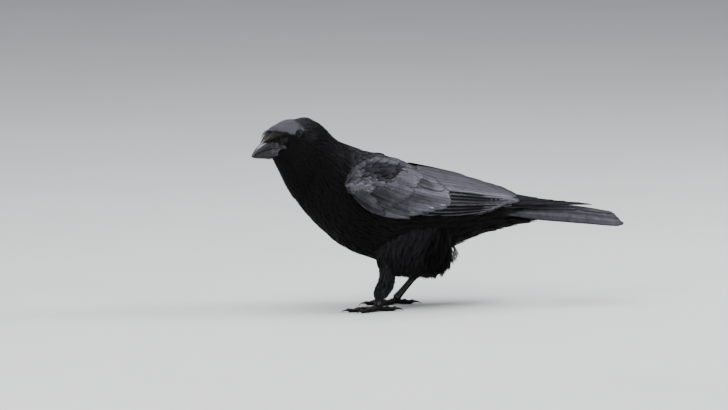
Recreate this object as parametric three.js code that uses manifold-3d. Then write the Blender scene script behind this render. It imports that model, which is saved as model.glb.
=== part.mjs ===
// A carrion crow, life size, standing with its left foot a step ahead and its head turned to its left.
// The bird faces -X, its left side is -Y, and it stands on the plane z = 0. Sizes are in millimetres.
// Each named mesh is one part of the body. Parts that touch keep a gap of CLEARANCE between them.
import * as THREE from "three";
import Module from "manifold-3d";

const wasm = await Module();
wasm.setup();

// ---- Driving dimensions ------------------------------------------------------------------------

const CLEARANCE = 0.35; // gap between two parts that meet
const SIMPLIFY = 0.04; // how far a face may move when slivers are merged
const HEAD_TURN = THREE.MathUtils.degToRad(31); // the head's turn to the bird's left
const HEAD_PITCH = THREE.MathUtils.degToRad(8.5); // how far the bill points down
const TURN_AXIS_X = -155; // the upright line that the head and neck turn about
const HEAD_X = -188; // the point midway between the eyes, before the turn
const HEAD_Z = 216;
const EYE_RADIUS = 5.2;
const EYE_SET_IN = 3.8; // how deep the eye's centre lies under the side of the face
const BILL_LENGTH = 65.4; // from the line between the eyes to the tip
const TARSUS_RADIUS = 3.2;

const BODY_SIDES = 20; // points round the body
const BODY_RINGS_PER_STATION = 1.6;

// The body before the turn, from the face to the root of the tail. Each station is a slice between
// a point on the back and one on the belly, both [x, z]. "half" is its half width, "level" the
// height of its widest line, as a share of the slice, and "square" how boxy it is (2 is an ellipse).
const BODY = [
  { name: "face", back: [-220.2, 221.7], belly: [-215.5, 194], half: 7.5, level: 0.6, square: 2.6 },
  { name: "lores", back: [-214.8, 226], belly: [-212, 187.5], half: 11, level: 0.58, square: 2.5 },
  { name: "brow", back: [-205.6, 228.8], belly: [-207, 179.5], half: 14.5, level: 0.62, square: 2.2 },
  { name: "eyes", back: [-190.8, 232.9], belly: [-199.5, 167.5], half: 19, level: 0.68, square: 2 },
  { name: "crown", back: [-176, 232.3], belly: [-190.5, 154.5], half: 22, level: 0.66, square: 2 },
  { name: "nape", back: [-158, 233], belly: [-178, 139], half: 26, level: 0.6, square: 2 },
  { name: "neck", back: [-140, 225.5], belly: [-162, 119], half: 33, level: 0.56, square: 2 },
  { name: "shoulders", back: [-121, 207], belly: [-141.5, 97], half: 41.5, level: 0.53, square: 2.1 },
  { name: "breast", back: [-99, 195.5], belly: [-118.5, 79], half: 48, level: 0.52, square: 2.1 },
  { name: "mantle", back: [-73, 188.5], belly: [-95, 66.5], half: 51, level: 0.52, square: 2.15 },
  { name: "belly", back: [-44, 180], belly: [-66, 58.5], half: 51.5, level: 0.53, square: 2.15 },
  { name: "loins", back: [-13, 166], belly: [-33, 56.5], half: 48, level: 0.55, square: 2.1 },
  { name: "vent", back: [16, 155], belly: [0, 63], half: 41.5, level: 0.57, square: 2 },
  { name: "rump", back: [42, 146], belly: [28, 75.5], half: 34, level: 0.58, square: 2 },
  { name: "coverts", back: [67, 137], belly: [57, 87], half: 26, level: 0.6, square: 2 },
  { name: "under_tail", back: [92, 128], belly: [87, 93.5], half: 19.5, level: 0.6, square: 2 },
  { name: "tail_root", back: [117, 120.5], belly: [116, 99], half: 15, level: 0.6, square: 2 },
];
const HEAD_END = 4.55; // where the head is parted from the neck, as a station number
const NECK_END = 7.05;
const CUT = 0.025; // the thickness of those cuts, in stations

// The bill's outline in the head's own frame: u runs forward from the eyes and w up.
const BILL = [
  { u: 15, culmen: 5.5, edge: -9.8, keel: -20.5, half: 11.6 },
  { u: 27, culmen: 6.2, edge: -9.5, keel: -23.4, half: 10 },
  { u: 37, culmen: 3.4, edge: -9.4, keel: -23.4, half: 8.2 },
  { u: 46, culmen: -1.1, edge: -9.7, keel: -20.6, half: 6.2 },
  { u: 55, culmen: -5.3, edge: -11, keel: -18.3, half: 4.3 },
  { u: 61.5, culmen: -10.1, edge: -13, keel: -16.4, half: 2.7 },
  { u: 65, culmen: -13.7, edge: -15.1, keel: -16.1, half: 1.2 },
];
const LOWER_BILL_END = 62.9; // the lower half stops short of the hooked tip

// The cap of bristly feathers over the nostrils, as slices of the head's frame along u.
const NOSTRIL_CAP = [
  { u: 10, middle: -1.4, rise: 7.4, half: 12 },
  { u: 19, middle: -0.8, rise: 8.2, half: 12.2 },
  { u: 28, middle: -0.4, rise: 8.6, half: 10.8 },
  { u: 36.5, middle: -1, rise: 5.2, half: 6.8 },
  { u: 44.5, middle: -2.2, rise: 2, half: 3 },
];

// The folded left wing's shell, from the bend to the tips of the tertials. Each slice runs from its
// upper edge over a control point at its side to its lower edge, each [distance from midline, z].
const WING = [
  { x: -121, top: [45, 160], side: [52, 156.5], low: [49, 151], thick: 4 },
  { x: -114, top: [39, 171], side: [65, 160], low: [50, 138.5], thick: 9 },
  { x: -100, top: [33, 180.5], side: [70, 163], low: [51, 127], thick: 14 },
  { x: -78, top: [25, 186], side: [74, 160], low: [53, 119], thick: 16 },
  { x: -47, top: [16, 182], side: [74, 154], low: [52, 114.5], thick: 16 },
  { x: -10, top: [10, 169], side: [67, 147], low: [47, 113.5], thick: 14 },
  { x: 28, top: [6, 158.5], side: [55, 141.5], low: [39, 114.5], thick: 10.5 },
  { x: 62, top: [3, 148], side: [41, 135], low: [30, 116.5], thick: 6.5 },
  { x: 84, top: [2, 141.5], side: [27, 131], low: [21, 119.5], thick: 4 },
  { x: 101, top: [1.6, 135], side: [12, 130.5], low: [12, 125], thick: 1.6 },
];
const WING_STEPS = 15;
const WING_SIDES = 6;

// The long flight feathers behind the shell, as a plate from its upper to its lower edge, and the
// tips of its feathers in the same order. Each slice's edges are [distance from midline, z].
const PRIMARIES = [
  { x: 30, top: [20, 141], low: [37, 115] },
  { x: 65, top: [9, 139], low: [29, 116.5] },
  { x: 100, top: [3, 133.5], low: [21.5, 118] },
  { x: 135, top: [1.6, 128.5], low: [16, 119.5] },
  { x: 170, top: [1.6, 124.3], low: [11, 118.8] },
  { x: 205, top: [1.6, 120.5], low: [7, 117.5] },
];
const PRIMARY_TIPS_X = [148, 165, 181, 195, 190, 180, 122];
const PRIMARY_THICKNESS = 1.6;

// The tail, as a plate with a ridge along its middle, from its root inside the body to its tips.
const TAIL = [
  { x: 58, half: 9, ridge: 119.5, edge: 111 },
  { x: 90, half: 14, ridge: 120.5, edge: 107 },
  { x: 122, half: 20, ridge: 120, edge: 103.5 },
  { x: 154, half: 24, ridge: 118, edge: 101.2 },
  { x: 186, half: 26.5, ridge: 113.8, edge: 99.4 },
  { x: 218, half: 28, ridge: 107.2, edge: 97.2 },
  { x: 250, half: 29, ridge: 100.8, edge: 95.4 },
];
const TAIL_TIPS_X = [227, 226, 224.5, 222, 219.5, 217.5, 217, 217.5, 217.5, 217, 216, 214.5];
const TAIL_THICKNESS = 1.8;

// The feathered legs, as level slices: height, then the middle and half size along the body and
// across it. The thigh's feathers hang free behind the leg, and a narrow sock reaches down it.
const LEFT_THIGH = [
  { z: 112, x: -31, along: 46, y: 26, across: 22 },
  { z: 95, x: -34, along: 46, y: 28, across: 22.5 },
  { z: 78, x: -36.5, along: 43.5, y: 29, across: 20.5 },
  { z: 64, x: -36, along: 43.5, y: 29, across: 17.5 },
  { z: 53, x: -36, along: 40, y: 28.5, across: 14 },
  { z: 46, x: -35, along: 32.5, y: 28, across: 10 },
  { z: 42.5, x: -33, along: 23, y: 28, across: 5 },
];
const LEFT_SOCK = [
  { z: 66, x: -63.5, along: 15, y: 28, across: 13 },
  { z: 54, x: -65, along: 11, y: 28, across: 10.5 },
  { z: 44, x: -65.5, along: 9.4, y: 28, across: 8.8 },
  { z: 34, x: -67.5, along: 10.4, y: 28, across: 8.6 },
  { z: 26, x: -70.5, along: 10.8, y: 28, across: 8.2 },
  { z: 20, x: -73, along: 9, y: 28, across: 6.8 },
  { z: 15.5, x: -74.6, along: 6.2, y: 28, across: 5.4 },
];
const RIGHT_THIGH = [
  { z: 112, x: -28, along: 46, y: 26, across: 22 },
  { z: 95, x: -28, along: 45, y: 28, across: 22.5 },
  { z: 78, x: -26, along: 42, y: 29, across: 20.5 },
  { z: 64, x: -22.5, along: 36, y: 29, across: 17.5 },
  { z: 54, x: -20, along: 29, y: 28.5, across: 14 },
  { z: 48, x: -18, along: 21, y: 28, across: 10.5 },
  { z: 44.5, x: -16, along: 14, y: 28, across: 7 },
];
const RIGHT_SOCK = [
  { z: 62, x: -8, along: 15, y: 28, across: 12 },
  { z: 52, x: -9, along: 11, y: 28, across: 9.5 },
  { z: 43, x: -11, along: 8, y: 28, across: 7.2 },
  { z: 36, x: -15, along: 6, y: 28, across: 5.6 },
  { z: 32, x: -18.5, along: 4.8, y: 28, across: 4.8 },
];

// Each leg's ankle and the top of its foot, as [x, distance from midline, z].
const LEFT_LEG = { side: -1, ankle: [-60, 28, 60], foot: [-77, 28, 7] };
const RIGHT_LEG = { side: 1, ankle: [-2, 28, 51], foot: [-41, 28, 7] };

// The toes, numbered as in a bird: the hind toe, then the inner, middle and outer front toes.
// "spread" turns the toe away from straight ahead, towards the outside of the foot.
const TOES = [
  { spread: 180, length: 19, claw: 13, root: 3.4, tip: 2.7 },
  { spread: -27, length: 22, claw: 9.5, root: 3.0, tip: 2.3 },
  { spread: 1, length: 35, claw: 11, root: 3.5, tip: 2.4 },
  { spread: 28, length: 25, claw: 9.5, root: 3.0, tip: 2.3 },
];
const TOE_SIDES = 8;
const TOE_RINGS = 7;
const CLAW_RINGS = 5;
const CLAW_SIDES = 6;

const BLACK = { color: 0x0b0b0e, roughness: 0.62, metalness: 0 };
const GLOSSY_BLACK = { color: 0x15141a, roughness: 0.42, metalness: 0 };
const HORN = { color: 0x1b1b1f, roughness: 0.38, metalness: 0 };
const EYE = { color: 0x0a0604, roughness: 0.06, metalness: 0 };
const SCALY = { color: 0x141416, roughness: 0.5, metalness: 0 };

// ---- Curves and solids -------------------------------------------------------------------------

/** One number through four evenly spaced ones, at share f of the way from b to c. */
function curve(a, b, c, d, f) {
  return 0.5 * (2 * b + (c - a) * f + (2 * a - 5 * b + 4 * c - d) * f * f
    + (3 * b - a - 3 * c + d) * f * f * f);
}

/** A field of a list of stations at a station number that may lie between two of them. */
function between(stations, t, read) {
  const last = stations.length - 1;
  const i = Math.min(Math.max(Math.floor(t), 0), last - 1);
  const at = (k) => {
    if (k < 0) return 2 * read(stations[0]) - read(stations[1]);
    if (k > last) return 2 * read(stations[last]) - read(stations[last - 1]);
    return read(stations[k]);
  };
  return curve(at(i - 1), at(i), at(i + 1), at(i + 2), t - i);
}

/** The sign-keeping power that bends a circle into a rounder or a squarer ring. */
const power = (value, exponent) => Math.sign(value) * Math.abs(value) ** exponent;

/** A closed solid from shared points and triangles, turned outwards if it was inside out. */
function solid(points, triangles) {
  const vertProperties = new Float32Array(points.flatMap((p) => [p.x, p.y, p.z]));
  const build = (faces) => new wasm.Manifold(
    new wasm.Mesh({ numProp: 3, vertProperties, triVerts: new Uint32Array(faces.flat()) }),
  );
  const made = build(triangles);
  return made.volume() > 0 ? made : build(triangles.map(([a, b, c]) => [a, c, b]));
}

/** The middle of a ring of points. */
function middle(ring) {
  return ring.reduce((sum, p) => sum.add(p), new THREE.Vector3()).divideScalar(ring.length);
}

/** A solid through rings of equally many points, closed by a fan at each end. */
function loft(rings) {
  const sides = rings[0].length;
  const points = rings.flat();
  const first = points.push(middle(rings[0])) - 1;
  const last = points.push(middle(rings.at(-1))) - 1;
  const end = (rings.length - 1) * sides;
  const triangles = [];
  for (let k = 0; k < sides; k++) {
    const next = (k + 1) % sides;
    triangles.push([first, next, k], [last, end + k, end + next]);
    for (let r = 0; r < end; r += sides) {
      triangles.push([r + k, r + next, r + sides + next], [r + k, r + sides + next, r + sides + k]);
    }
  }
  return solid(points, triangles);
}

/** A plate: a grid of points from outer(u, v), and the same grid moved in by inward(u, v). */
function plate(outer, inward, across, down) {
  const points = [];
  for (const layer of [0, 1]) {
    for (let i = 0; i <= across; i++) {
      for (let j = 0; j <= down; j++) {
        const p = outer(i / across, j / down);
        points.push(layer ? p.add(inward(i / across, j / down)) : p);
      }
    }
  }
  const row = down + 1;
  const layerSize = (across + 1) * row;
  const at = (layer, i, j) => layer * layerSize + i * row + j;
  const triangles = [];
  const quad = (a, b, c, d) => triangles.push([a, b, c], [a, c, d]);
  for (let i = 0; i < across; i++) {
    for (let j = 0; j < down; j++) {
      quad(at(0, i, j), at(0, i + 1, j), at(0, i + 1, j + 1), at(0, i, j + 1));
      quad(at(1, i, j), at(1, i, j + 1), at(1, i + 1, j + 1), at(1, i + 1, j));
    }
    quad(at(0, i, 0), at(1, i, 0), at(1, i + 1, 0), at(0, i + 1, 0));
    quad(at(0, i, down), at(0, i + 1, down), at(1, i + 1, down), at(1, i, down));
  }
  for (let j = 0; j < down; j++) {
    quad(at(0, 0, j), at(0, 0, j + 1), at(1, 0, j + 1), at(1, 0, j));
    quad(at(0, across, j), at(1, across, j), at(1, across, j + 1), at(0, across, j + 1));
  }
  return solid(points, triangles);
}

/** The largest body of a solid, so that a cut leaves no crumbs. */
function largest(made) {
  return made.decompose().reduce((a, b) => (a.volume() > b.volume() ? a : b));
}

// ---- Frames ------------------------------------------------------------------------------------

/** Turns a point about the neck's upright line. */
function turned(p, angle) {
  const x = p.x - TURN_AXIS_X;
  return new THREE.Vector3(
    TURN_AXIS_X + x * Math.cos(angle) - p.y * Math.sin(angle),
    x * Math.sin(angle) + p.y * Math.cos(angle),
    p.z,
  );
}

/** A point of the head's own frame: u forward from the eyes, v to the bird's left and w up. */
function headPoint(u, v, w) {
  const cos = Math.cos(HEAD_PITCH);
  const sin = Math.sin(HEAD_PITCH);
  const straight = new THREE.Vector3(HEAD_X - u * cos - w * sin, -v, HEAD_Z - u * sin + w * cos);
  return turned(straight, HEAD_TURN);
}

/** The share of the head's turn that the slice at a station takes. */
function turnShare(t) {
  return 1 - THREE.MathUtils.smoothstep(t, 3.4, 8);
}

// ---- Head, neck and trunk ----------------------------------------------------------------------

/** One ring round the body at a station number, moved out by grow. */
function bodyRing(t, grow = 0) {
  const read = (field) => between(BODY, t, field);
  const back = new THREE.Vector3(read((s) => s.back[0]), 0, read((s) => s.back[1]));
  const belly = new THREE.Vector3(read((s) => s.belly[0]), 0, read((s) => s.belly[1]));
  const up = back.clone().sub(belly);
  const height = up.length() + 2 * grow;
  up.normalize();
  belly.addScaledVector(up, -grow);
  const half = read((s) => s.half) + grow;
  const level = read((s) => s.level);
  const bend = 2 / read((s) => s.square);
  const angle = HEAD_TURN * turnShare(t);
  const ring = [];
  for (let k = 0; k < BODY_SIDES; k++) {
    const a = (2 * Math.PI * k) / BODY_SIDES;
    const rise = power(Math.cos(a), bend);
    const lift = level + (rise > 0 ? 1 - level : level) * rise;
    const p = belly.clone().addScaledVector(up, lift * height);
    p.y = half * power(Math.sin(a), bend);
    ring.push(turned(p, angle));
  }
  return ring;
}

/** A length of the body between two station numbers. Grown, it also reaches past its two ends. */
function bodyLength(from, to, grow = 0) {
  const steps = Math.ceil((to - from) * BODY_RINGS_PER_STATION);
  const rings = [];
  for (let i = 0; i <= steps; i++) rings.push(bodyRing(from + ((to - from) * i) / steps, grow));
  const reach = (ring, next) => {
    const step = middle(ring).sub(middle(next)).setLength(grow);
    ring.forEach((p) => p.add(step));
  };
  if (grow) {
    reach(rings[0], rings[1]);
    reach(rings.at(-1), rings.at(-2));
  }
  return loft(rings);
}

/** Half the width of the head at its widest level, abreast of the eyes. */
const faceHalfWidth = between(BODY, 3.05, (s) => s.half);
const eyeSide = faceHalfWidth - EYE_SET_IN;

/** An eyeball in its socket, or the socket itself when grown. */
function eyeball(side, grow = 0) {
  const RINGS = 8;
  const SIDES = 12;
  const r = EYE_RADIUS + grow;
  const rings = [];
  for (let i = 1; i < RINGS; i++) {
    const polar = (Math.PI * i) / RINGS;
    const ring = [];
    for (let k = 0; k < SIDES; k++) {
      const a = (2 * Math.PI * k) / SIDES;
      ring.push(headPoint(
        r * Math.sin(polar) * Math.cos(a),
        side * eyeSide + r * Math.cos(polar),
        r * Math.sin(polar) * Math.sin(a),
      ));
    }
    rings.push(ring);
  }
  return loft(rings);
}

/** The cap over the nostrils: it lies on the upper bill and comes to a point along its top. */
function nostrilCap() {
  const STEPS = 8;
  const SIDES = 12;
  const rings = [];
  for (let i = 0; i <= STEPS; i++) {
    const t = (i * (NOSTRIL_CAP.length - 1)) / STEPS;
    const read = (field) => between(NOSTRIL_CAP, t, field);
    const ring = [];
    for (let k = 0; k < SIDES; k++) {
      const a = (2 * Math.PI * k) / SIDES;
      const w = read((s) => s.middle) + read((s) => s.rise) * Math.sin(a);
      ring.push(headPoint(read((s) => s.u), read((s) => s.half) * Math.cos(a), w));
    }
    rings.push(ring);
  }
  return loft(rings);
}

/** Half of the bill: the upper one lies over its edge line and the lower one under it. */
function billHalf(upper, grow = 0) {
  const STEPS = 11;
  const ARC = 8;
  const end = upper ? BILL_LENGTH : LOWER_BILL_END;
  const from = BILL[0].u - grow;
  const rings = [];
  for (let i = 0; i <= STEPS; i++) {
    const u = from + ((end - 0.6 - from) * i) / STEPS;
    const after = BILL.findIndex((s) => s.u > u);
    const k = after < 0 ? BILL.length - 1 : Math.max(after, 1);
    const t = k - 1 + (u - BILL[k - 1].u) / (BILL[k].u - BILL[k - 1].u);
    const read = (field) => between(BILL, t, field);
    const edge = read((s) => s.edge) + (upper ? 1 : -1) * (CLEARANCE / 2 - grow);
    const far = upper ? read((s) => s.culmen) + grow : read((s) => s.keel) - grow;
    const half = Math.max(read((s) => s.half) * (upper ? 1 : 0.9), 0.6) + grow;
    const ring = [];
    for (let a = 0; a <= ARC; a++) {
      const angle = (Math.PI * a) / ARC;
      const rise = Math.sin(angle) ** 0.85;
      ring.push(headPoint(u, half * Math.cos(angle), edge + (far - edge) * rise));
    }
    rings.push(ring);
  }
  return loft(rings);
}

/** The feathered head, with the cap over its nostrils, cut back from the bill and the eyes. */
function head() {
  let made = bodyLength(0, HEAD_END).add(nostrilCap());
  for (const side of [-1, 1]) made = made.subtract(eyeball(side, CLEARANCE));
  for (const upper of [true, false]) made = made.subtract(billHalf(upper, CLEARANCE));
  return largest(made);
}

const trunk = bodyLength(NECK_END + CUT, BODY.length - 1);
const trunkSpace = bodyLength(NECK_END + CUT, BODY.length - 1, CLEARANCE);
const neck = bodyLength(HEAD_END + CUT, NECK_END);

// ---- Wings and tail ----------------------------------------------------------------------------

/** A point of the left wing's outer face: u from the bend to the tertials, v from the top down. */
function wingFace(u, v) {
  const t = u * (WING.length - 1);
  const read = (field) => between(WING, t, field);
  const blend = (i) => {
    const [top, side, low] = ["top", "side", "low"].map((key) => read((s) => s[key][i]));
    return top * (1 - v) ** 2 + 2 * side * v * (1 - v) + low * v ** 2;
  };
  return new THREE.Vector3(read((s) => s.x), -blend(0), blend(1));
}

/** The way from the wing's outer face towards the body's core, as long as the wing is thick. */
function wingDepth(u, v) {
  const p = wingFace(u, v);
  const thick = between(WING, u * (WING.length - 1), (s) => s.thick);
  const core = new THREE.Vector3(p.x, 0, p.z - 0.35 * (p.z - 120));
  return core.sub(p).setLength(THREE.MathUtils.lerp(1.2, thick, Math.sin(Math.PI * v) ** 0.5));
}

/** Where an x lies among a list of slices, as a station number. */
function stationAt(stations, x) {
  return (x - stations[0].x) / (stations[1].x - stations[0].x);
}

/** The end of a plate of feathers at share v across it, with a round tip to each feather. */
function tipLine(tips, v, roundness) {
  const which = Math.min(Math.floor(v * tips.length), tips.length - 1);
  return tips[which] - roundness * (2 * (v * tips.length - which) - 1) ** 2;
}

/** A point of the outer face of the left wing's long feathers, u to the tips and v down. */
function primaryFace(u, v) {
  const x = THREE.MathUtils.lerp(PRIMARIES[0].x, tipLine(PRIMARY_TIPS_X, v, 9), u);
  const t = stationAt(PRIMARIES, x);
  const at = (i) => THREE.MathUtils.lerp(
    between(PRIMARIES, t, (s) => s.top[i]),
    between(PRIMARIES, t, (s) => s.low[i]),
    v,
  );
  return new THREE.Vector3(x, -at(0), at(1));
}

/** A point of the tail's upper face, u from its root to the tips and v from left to right. */
function tailFace(u, v) {
  const x = THREE.MathUtils.lerp(TAIL[0].x, tipLine(TAIL_TIPS_X, v, 3.5), u);
  const t = stationAt(TAIL, x);
  const across = 2 * v - 1;
  const ridge = between(TAIL, t, (s) => s.ridge);
  const drop = ridge - between(TAIL, t, (s) => s.edge);
  const y = across * between(TAIL, t, (s) => s.half);
  return new THREE.Vector3(x, y, ridge - drop * (0.3 * Math.abs(across) + 0.7 * across ** 2));
}

/** A wing: its shell, with the long feathers behind it, laid on the trunk. */
function wingSolid(side) {
  const shell = plate(wingFace, wingDepth, WING_STEPS, WING_SIDES);
  const long = plate(
    primaryFace,
    () => new THREE.Vector3(0, PRIMARY_THICKNESS, 0),
    4,
    2 * PRIMARY_TIPS_X.length,
  );
  const left = shell.add(long);
  return largest((side < 0 ? left : left.mirror([0, 1, 0])).subtract(trunkSpace));
}

/** The tail: twelve feathers side by side, cut back from the body. */
function tailSolid() {
  const down = () => new THREE.Vector3(0, 0, -TAIL_THICKNESS);
  return largest(plate(tailFace, down, 6, 2 * TAIL_TIPS_X.length).subtract(trunkSpace));
}

// ---- Legs --------------------------------------------------------------------------------------

/** A tube along a list of points with a radius at each, its underside laid flat on the floor. */
function tube(path, radii, sides, floor = -Infinity) {
  const frames = path.map((p, i) => {
    const way = path[Math.min(i + 1, path.length - 1)].clone()
      .sub(path[Math.max(i - 1, 0)]).normalize();
    const across = new THREE.Vector3(-way.y, way.x, 0);
    if (across.length() < 0.2) across.set(0, 1, 0);
    across.normalize();
    return { across, up: new THREE.Vector3().crossVectors(way, across) };
  });
  return loft(path.map((p, i) => {
    const ring = [];
    for (let k = 0; k < sides; k++) {
      const a = (2 * Math.PI * (k + 0.5)) / sides;
      const q = p.clone()
        .addScaledVector(frames[i].across, radii[i] * Math.cos(a))
        .addScaledVector(frames[i].up, radii[i] * Math.sin(a));
      q.z = Math.max(q.z, floor);
      ring.push(q);
    }
    return ring;
  }));
}

/** The scaly shank from inside the ankle's feathers to the top of the foot. */
function tarsus(leg, grow = 0) {
  const STEPS = 6;
  const top = new THREE.Vector3(leg.ankle[0], leg.side * leg.ankle[1], leg.ankle[2]);
  const foot = new THREE.Vector3(leg.foot[0], leg.side * leg.foot[1], leg.foot[2]);
  const path = [];
  const radii = [];
  for (let i = 0; i <= STEPS; i++) {
    const s = i / STEPS;
    path.push(top.clone().lerp(foot, s));
    const joint = 1.6 * (1 - s) ** 4 + 1.5 * s ** 6;
    radii.push(TARSUS_RADIUS + joint + grow);
  }
  return tube(path, radii, 10, 2.2 - grow);
}

/** The way a toe points, level with the floor. */
function toeWay(leg, toe) {
  const angle = THREE.MathUtils.degToRad(toe.spread) * -leg.side;
  return new THREE.Vector3(-Math.cos(angle), -Math.sin(angle), 0);
}

/** A toe from the foot to the root of its claw, with a pad under each of its joints. */
function toeSolid(leg, toe, grow = 0) {
  const way = toeWay(leg, toe);
  const root = new THREE.Vector3(leg.foot[0], leg.side * leg.foot[1], 0).addScaledVector(way, 1.5);
  const path = [];
  const radii = [];
  for (let i = 0; i < TOE_RINGS; i++) {
    const s = i / (TOE_RINGS - 1);
    const pad = 0.35 * Math.cos(2 * 2 * Math.PI * s);
    const r = THREE.MathUtils.lerp(toe.root, toe.tip, s) + pad;
    const arch = 1.6 * (1 - s) ** 2;
    const reach = s * toe.length + (2 * s - 1) * grow;
    path.push(root.clone().addScaledVector(way, reach).setZ(r - 0.45 + arch * 0.6));
    radii.push(r + grow);
  }
  return tube(path, radii, TOE_SIDES, -grow);
}

/** A curved claw that starts in the end of its toe and comes down to the floor. */
function clawSolid(leg, toe) {
  const way = toeWay(leg, toe);
  const start = new THREE.Vector3(leg.foot[0], leg.side * leg.foot[1], 0)
    .addScaledVector(way, 1.5 + toe.length - 1.5);
  const path = [];
  const radii = [];
  for (let i = 0; i < CLAW_RINGS; i++) {
    const s = i / (CLAW_RINGS - 1);
    const r = THREE.MathUtils.lerp(toe.tip * 0.78, 0.32, s ** 0.8);
    const height = 2.4 + 1.3 * Math.sin(Math.PI * s * 0.75) - 2.9 * s ** 2.2;
    path.push(start.clone().addScaledVector(way, s * toe.claw).setZ(Math.max(height, r + 0.05)));
    radii.push(r);
  }
  return tube(path, radii, CLAW_SIDES);
}

/** A solid through level slices of a leg's feathers. */
function slicedSolid(slices, side) {
  const SIDES = 16;
  const STEPS = 8;
  const rings = [];
  for (let i = 0; i <= STEPS; i++) {
    const read = (field) => between(slices, (i * (slices.length - 1)) / STEPS, field);
    const ring = [];
    for (let k = 0; k < SIDES; k++) {
      const a = (2 * Math.PI * k) / SIDES;
      ring.push(new THREE.Vector3(
        read((s) => s.x) + read((s) => s.along) * Math.cos(a),
        side * read((s) => s.y) + read((s) => s.across) * Math.sin(a),
        read((s) => s.z),
      ));
    }
    rings.push(ring);
  }
  return loft(rings);
}

/** The feathered leg from under the wing to below the ankle, cut back from what it meets. */
function thighSolid(thigh, sock, leg, wing) {
  const whole = slicedSolid(thigh, leg.side).add(slicedSolid(sock, leg.side));
  const cuts = [trunkSpace, tarsus(leg, CLEARANCE), wing];
  cuts.push(wing.translate([0, 0, -CLEARANCE]), wing.translate([0, -leg.side * CLEARANCE, 0]));
  return largest(cuts.reduce((a, b) => a.subtract(b), whole));
}

// ---- The bird ----------------------------------------------------------------------------------

const bird = new THREE.Group();

/** Adds a solid to the bird as a named mesh. */
function addPart(name, made, look) {
  const { numProp, vertProperties, triVerts } = largest(made.simplify(SIMPLIFY)).getMesh();
  const positions = new Float32Array((vertProperties.length / numProp) * 3);
  for (let i = 0; i * numProp < vertProperties.length; i++) {
    positions.set(vertProperties.subarray(i * numProp, i * numProp + 3), i * 3);
  }
  const geometry = new THREE.BufferGeometry();
  geometry.setAttribute("position", new THREE.BufferAttribute(positions, 3));
  geometry.setIndex(new THREE.BufferAttribute(triVerts, 1));
  geometry.computeVertexNormals();
  const mesh = new THREE.Mesh(geometry, new THREE.MeshStandardMaterial(look));
  mesh.name = name;
  bird.add(mesh);
}

addPart("head", head(), BLACK);
addPart("neck", neck, BLACK);
addPart("trunk", trunk, BLACK);
addPart("bill_upper", billHalf(true), HORN);
addPart("bill_lower", billHalf(false), HORN);
addPart("eye_left", eyeball(1), EYE);
addPart("eye_right", eyeball(-1), EYE);

addPart("tail", tailSolid(), GLOSSY_BLACK);

for (const [name, leg, thigh, sock] of [
  ["left", LEFT_LEG, LEFT_THIGH, LEFT_SOCK],
  ["right", RIGHT_LEG, RIGHT_THIGH, RIGHT_SOCK],
]) {
  const wing = wingSolid(leg.side);
  addPart(`wing_${name}`, wing, GLOSSY_BLACK);
  addPart(`thigh_${name}`, thighSolid(thigh, sock, leg, wing), BLACK);
  addPart(`tarsus_${name}`, tarsus(leg), SCALY);
  TOES.forEach((toe, i) => {
    const claw = clawSolid(leg, toe);
    const others = TOES.slice(0, i).map((t) => toeSolid(leg, t, CLEARANCE));
    const body = [tarsus(leg, CLEARANCE), ...others].reduce((a, b) => a.subtract(b), toeSolid(leg, toe));
    addPart(`toe_${name}_${i + 1}`, largest(body), SCALY);
    addPart(`claw_${name}_${i + 1}`, largest(claw.subtract(toeSolid(leg, toe, CLEARANCE))), HORN);
  });
}

// The origin is on the floor, under the middle of the bird's bounding box.
const box = new THREE.Box3().setFromObject(bird);
bird.position.set(-(box.min.x + box.max.x) / 2, -(box.min.y + box.max.y) / 2, -box.min.z);

export default bird;
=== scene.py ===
"""A carrion crow, life size, standing still: skin, feathers, bill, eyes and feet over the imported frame.

Sizes are millimetres in the bird's own measure, in which it faces -X, its left side is -Y and it
stands on z = 0. ``Stand`` moves them into the frame's metres.
"""

import logging
import math
from collections.abc import Callable, Sequence
from dataclasses import dataclass, field
from enum import Enum

import bpy
import numpy as np
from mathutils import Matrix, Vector


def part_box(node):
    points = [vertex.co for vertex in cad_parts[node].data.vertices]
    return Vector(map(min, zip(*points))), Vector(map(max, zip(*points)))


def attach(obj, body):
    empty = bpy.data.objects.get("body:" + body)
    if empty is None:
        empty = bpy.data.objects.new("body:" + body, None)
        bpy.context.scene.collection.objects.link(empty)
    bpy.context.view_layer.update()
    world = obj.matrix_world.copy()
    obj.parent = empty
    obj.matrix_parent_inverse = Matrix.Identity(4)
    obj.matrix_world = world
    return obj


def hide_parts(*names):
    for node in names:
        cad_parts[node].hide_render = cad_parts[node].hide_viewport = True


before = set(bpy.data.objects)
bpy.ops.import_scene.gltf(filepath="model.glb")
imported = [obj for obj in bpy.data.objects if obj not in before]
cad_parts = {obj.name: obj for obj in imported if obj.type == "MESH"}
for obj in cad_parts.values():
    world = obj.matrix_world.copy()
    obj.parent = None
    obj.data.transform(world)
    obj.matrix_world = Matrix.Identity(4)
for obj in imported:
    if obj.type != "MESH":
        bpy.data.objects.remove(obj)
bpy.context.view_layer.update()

LOG = logging.getLogger("crow")
Array = np.ndarray
Field = Callable[[Array, Array], Array]
Mesh = tuple[Array, Array]
Pair = tuple[float, float]
Material = bpy.types.Material
Object = bpy.types.Object
Rng = np.random.Generator

# ---- Sizes that the frame was built from ----

HEAD_TURN = math.radians(31)
HEAD_PITCH = math.radians(8.5)
TURN_AXIS_X = -155.0
HEAD_X = -188.0
HEAD_Z = 216.0
EYE_RADIUS = 5.2
EYE_SET_IN = 3.8

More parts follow.
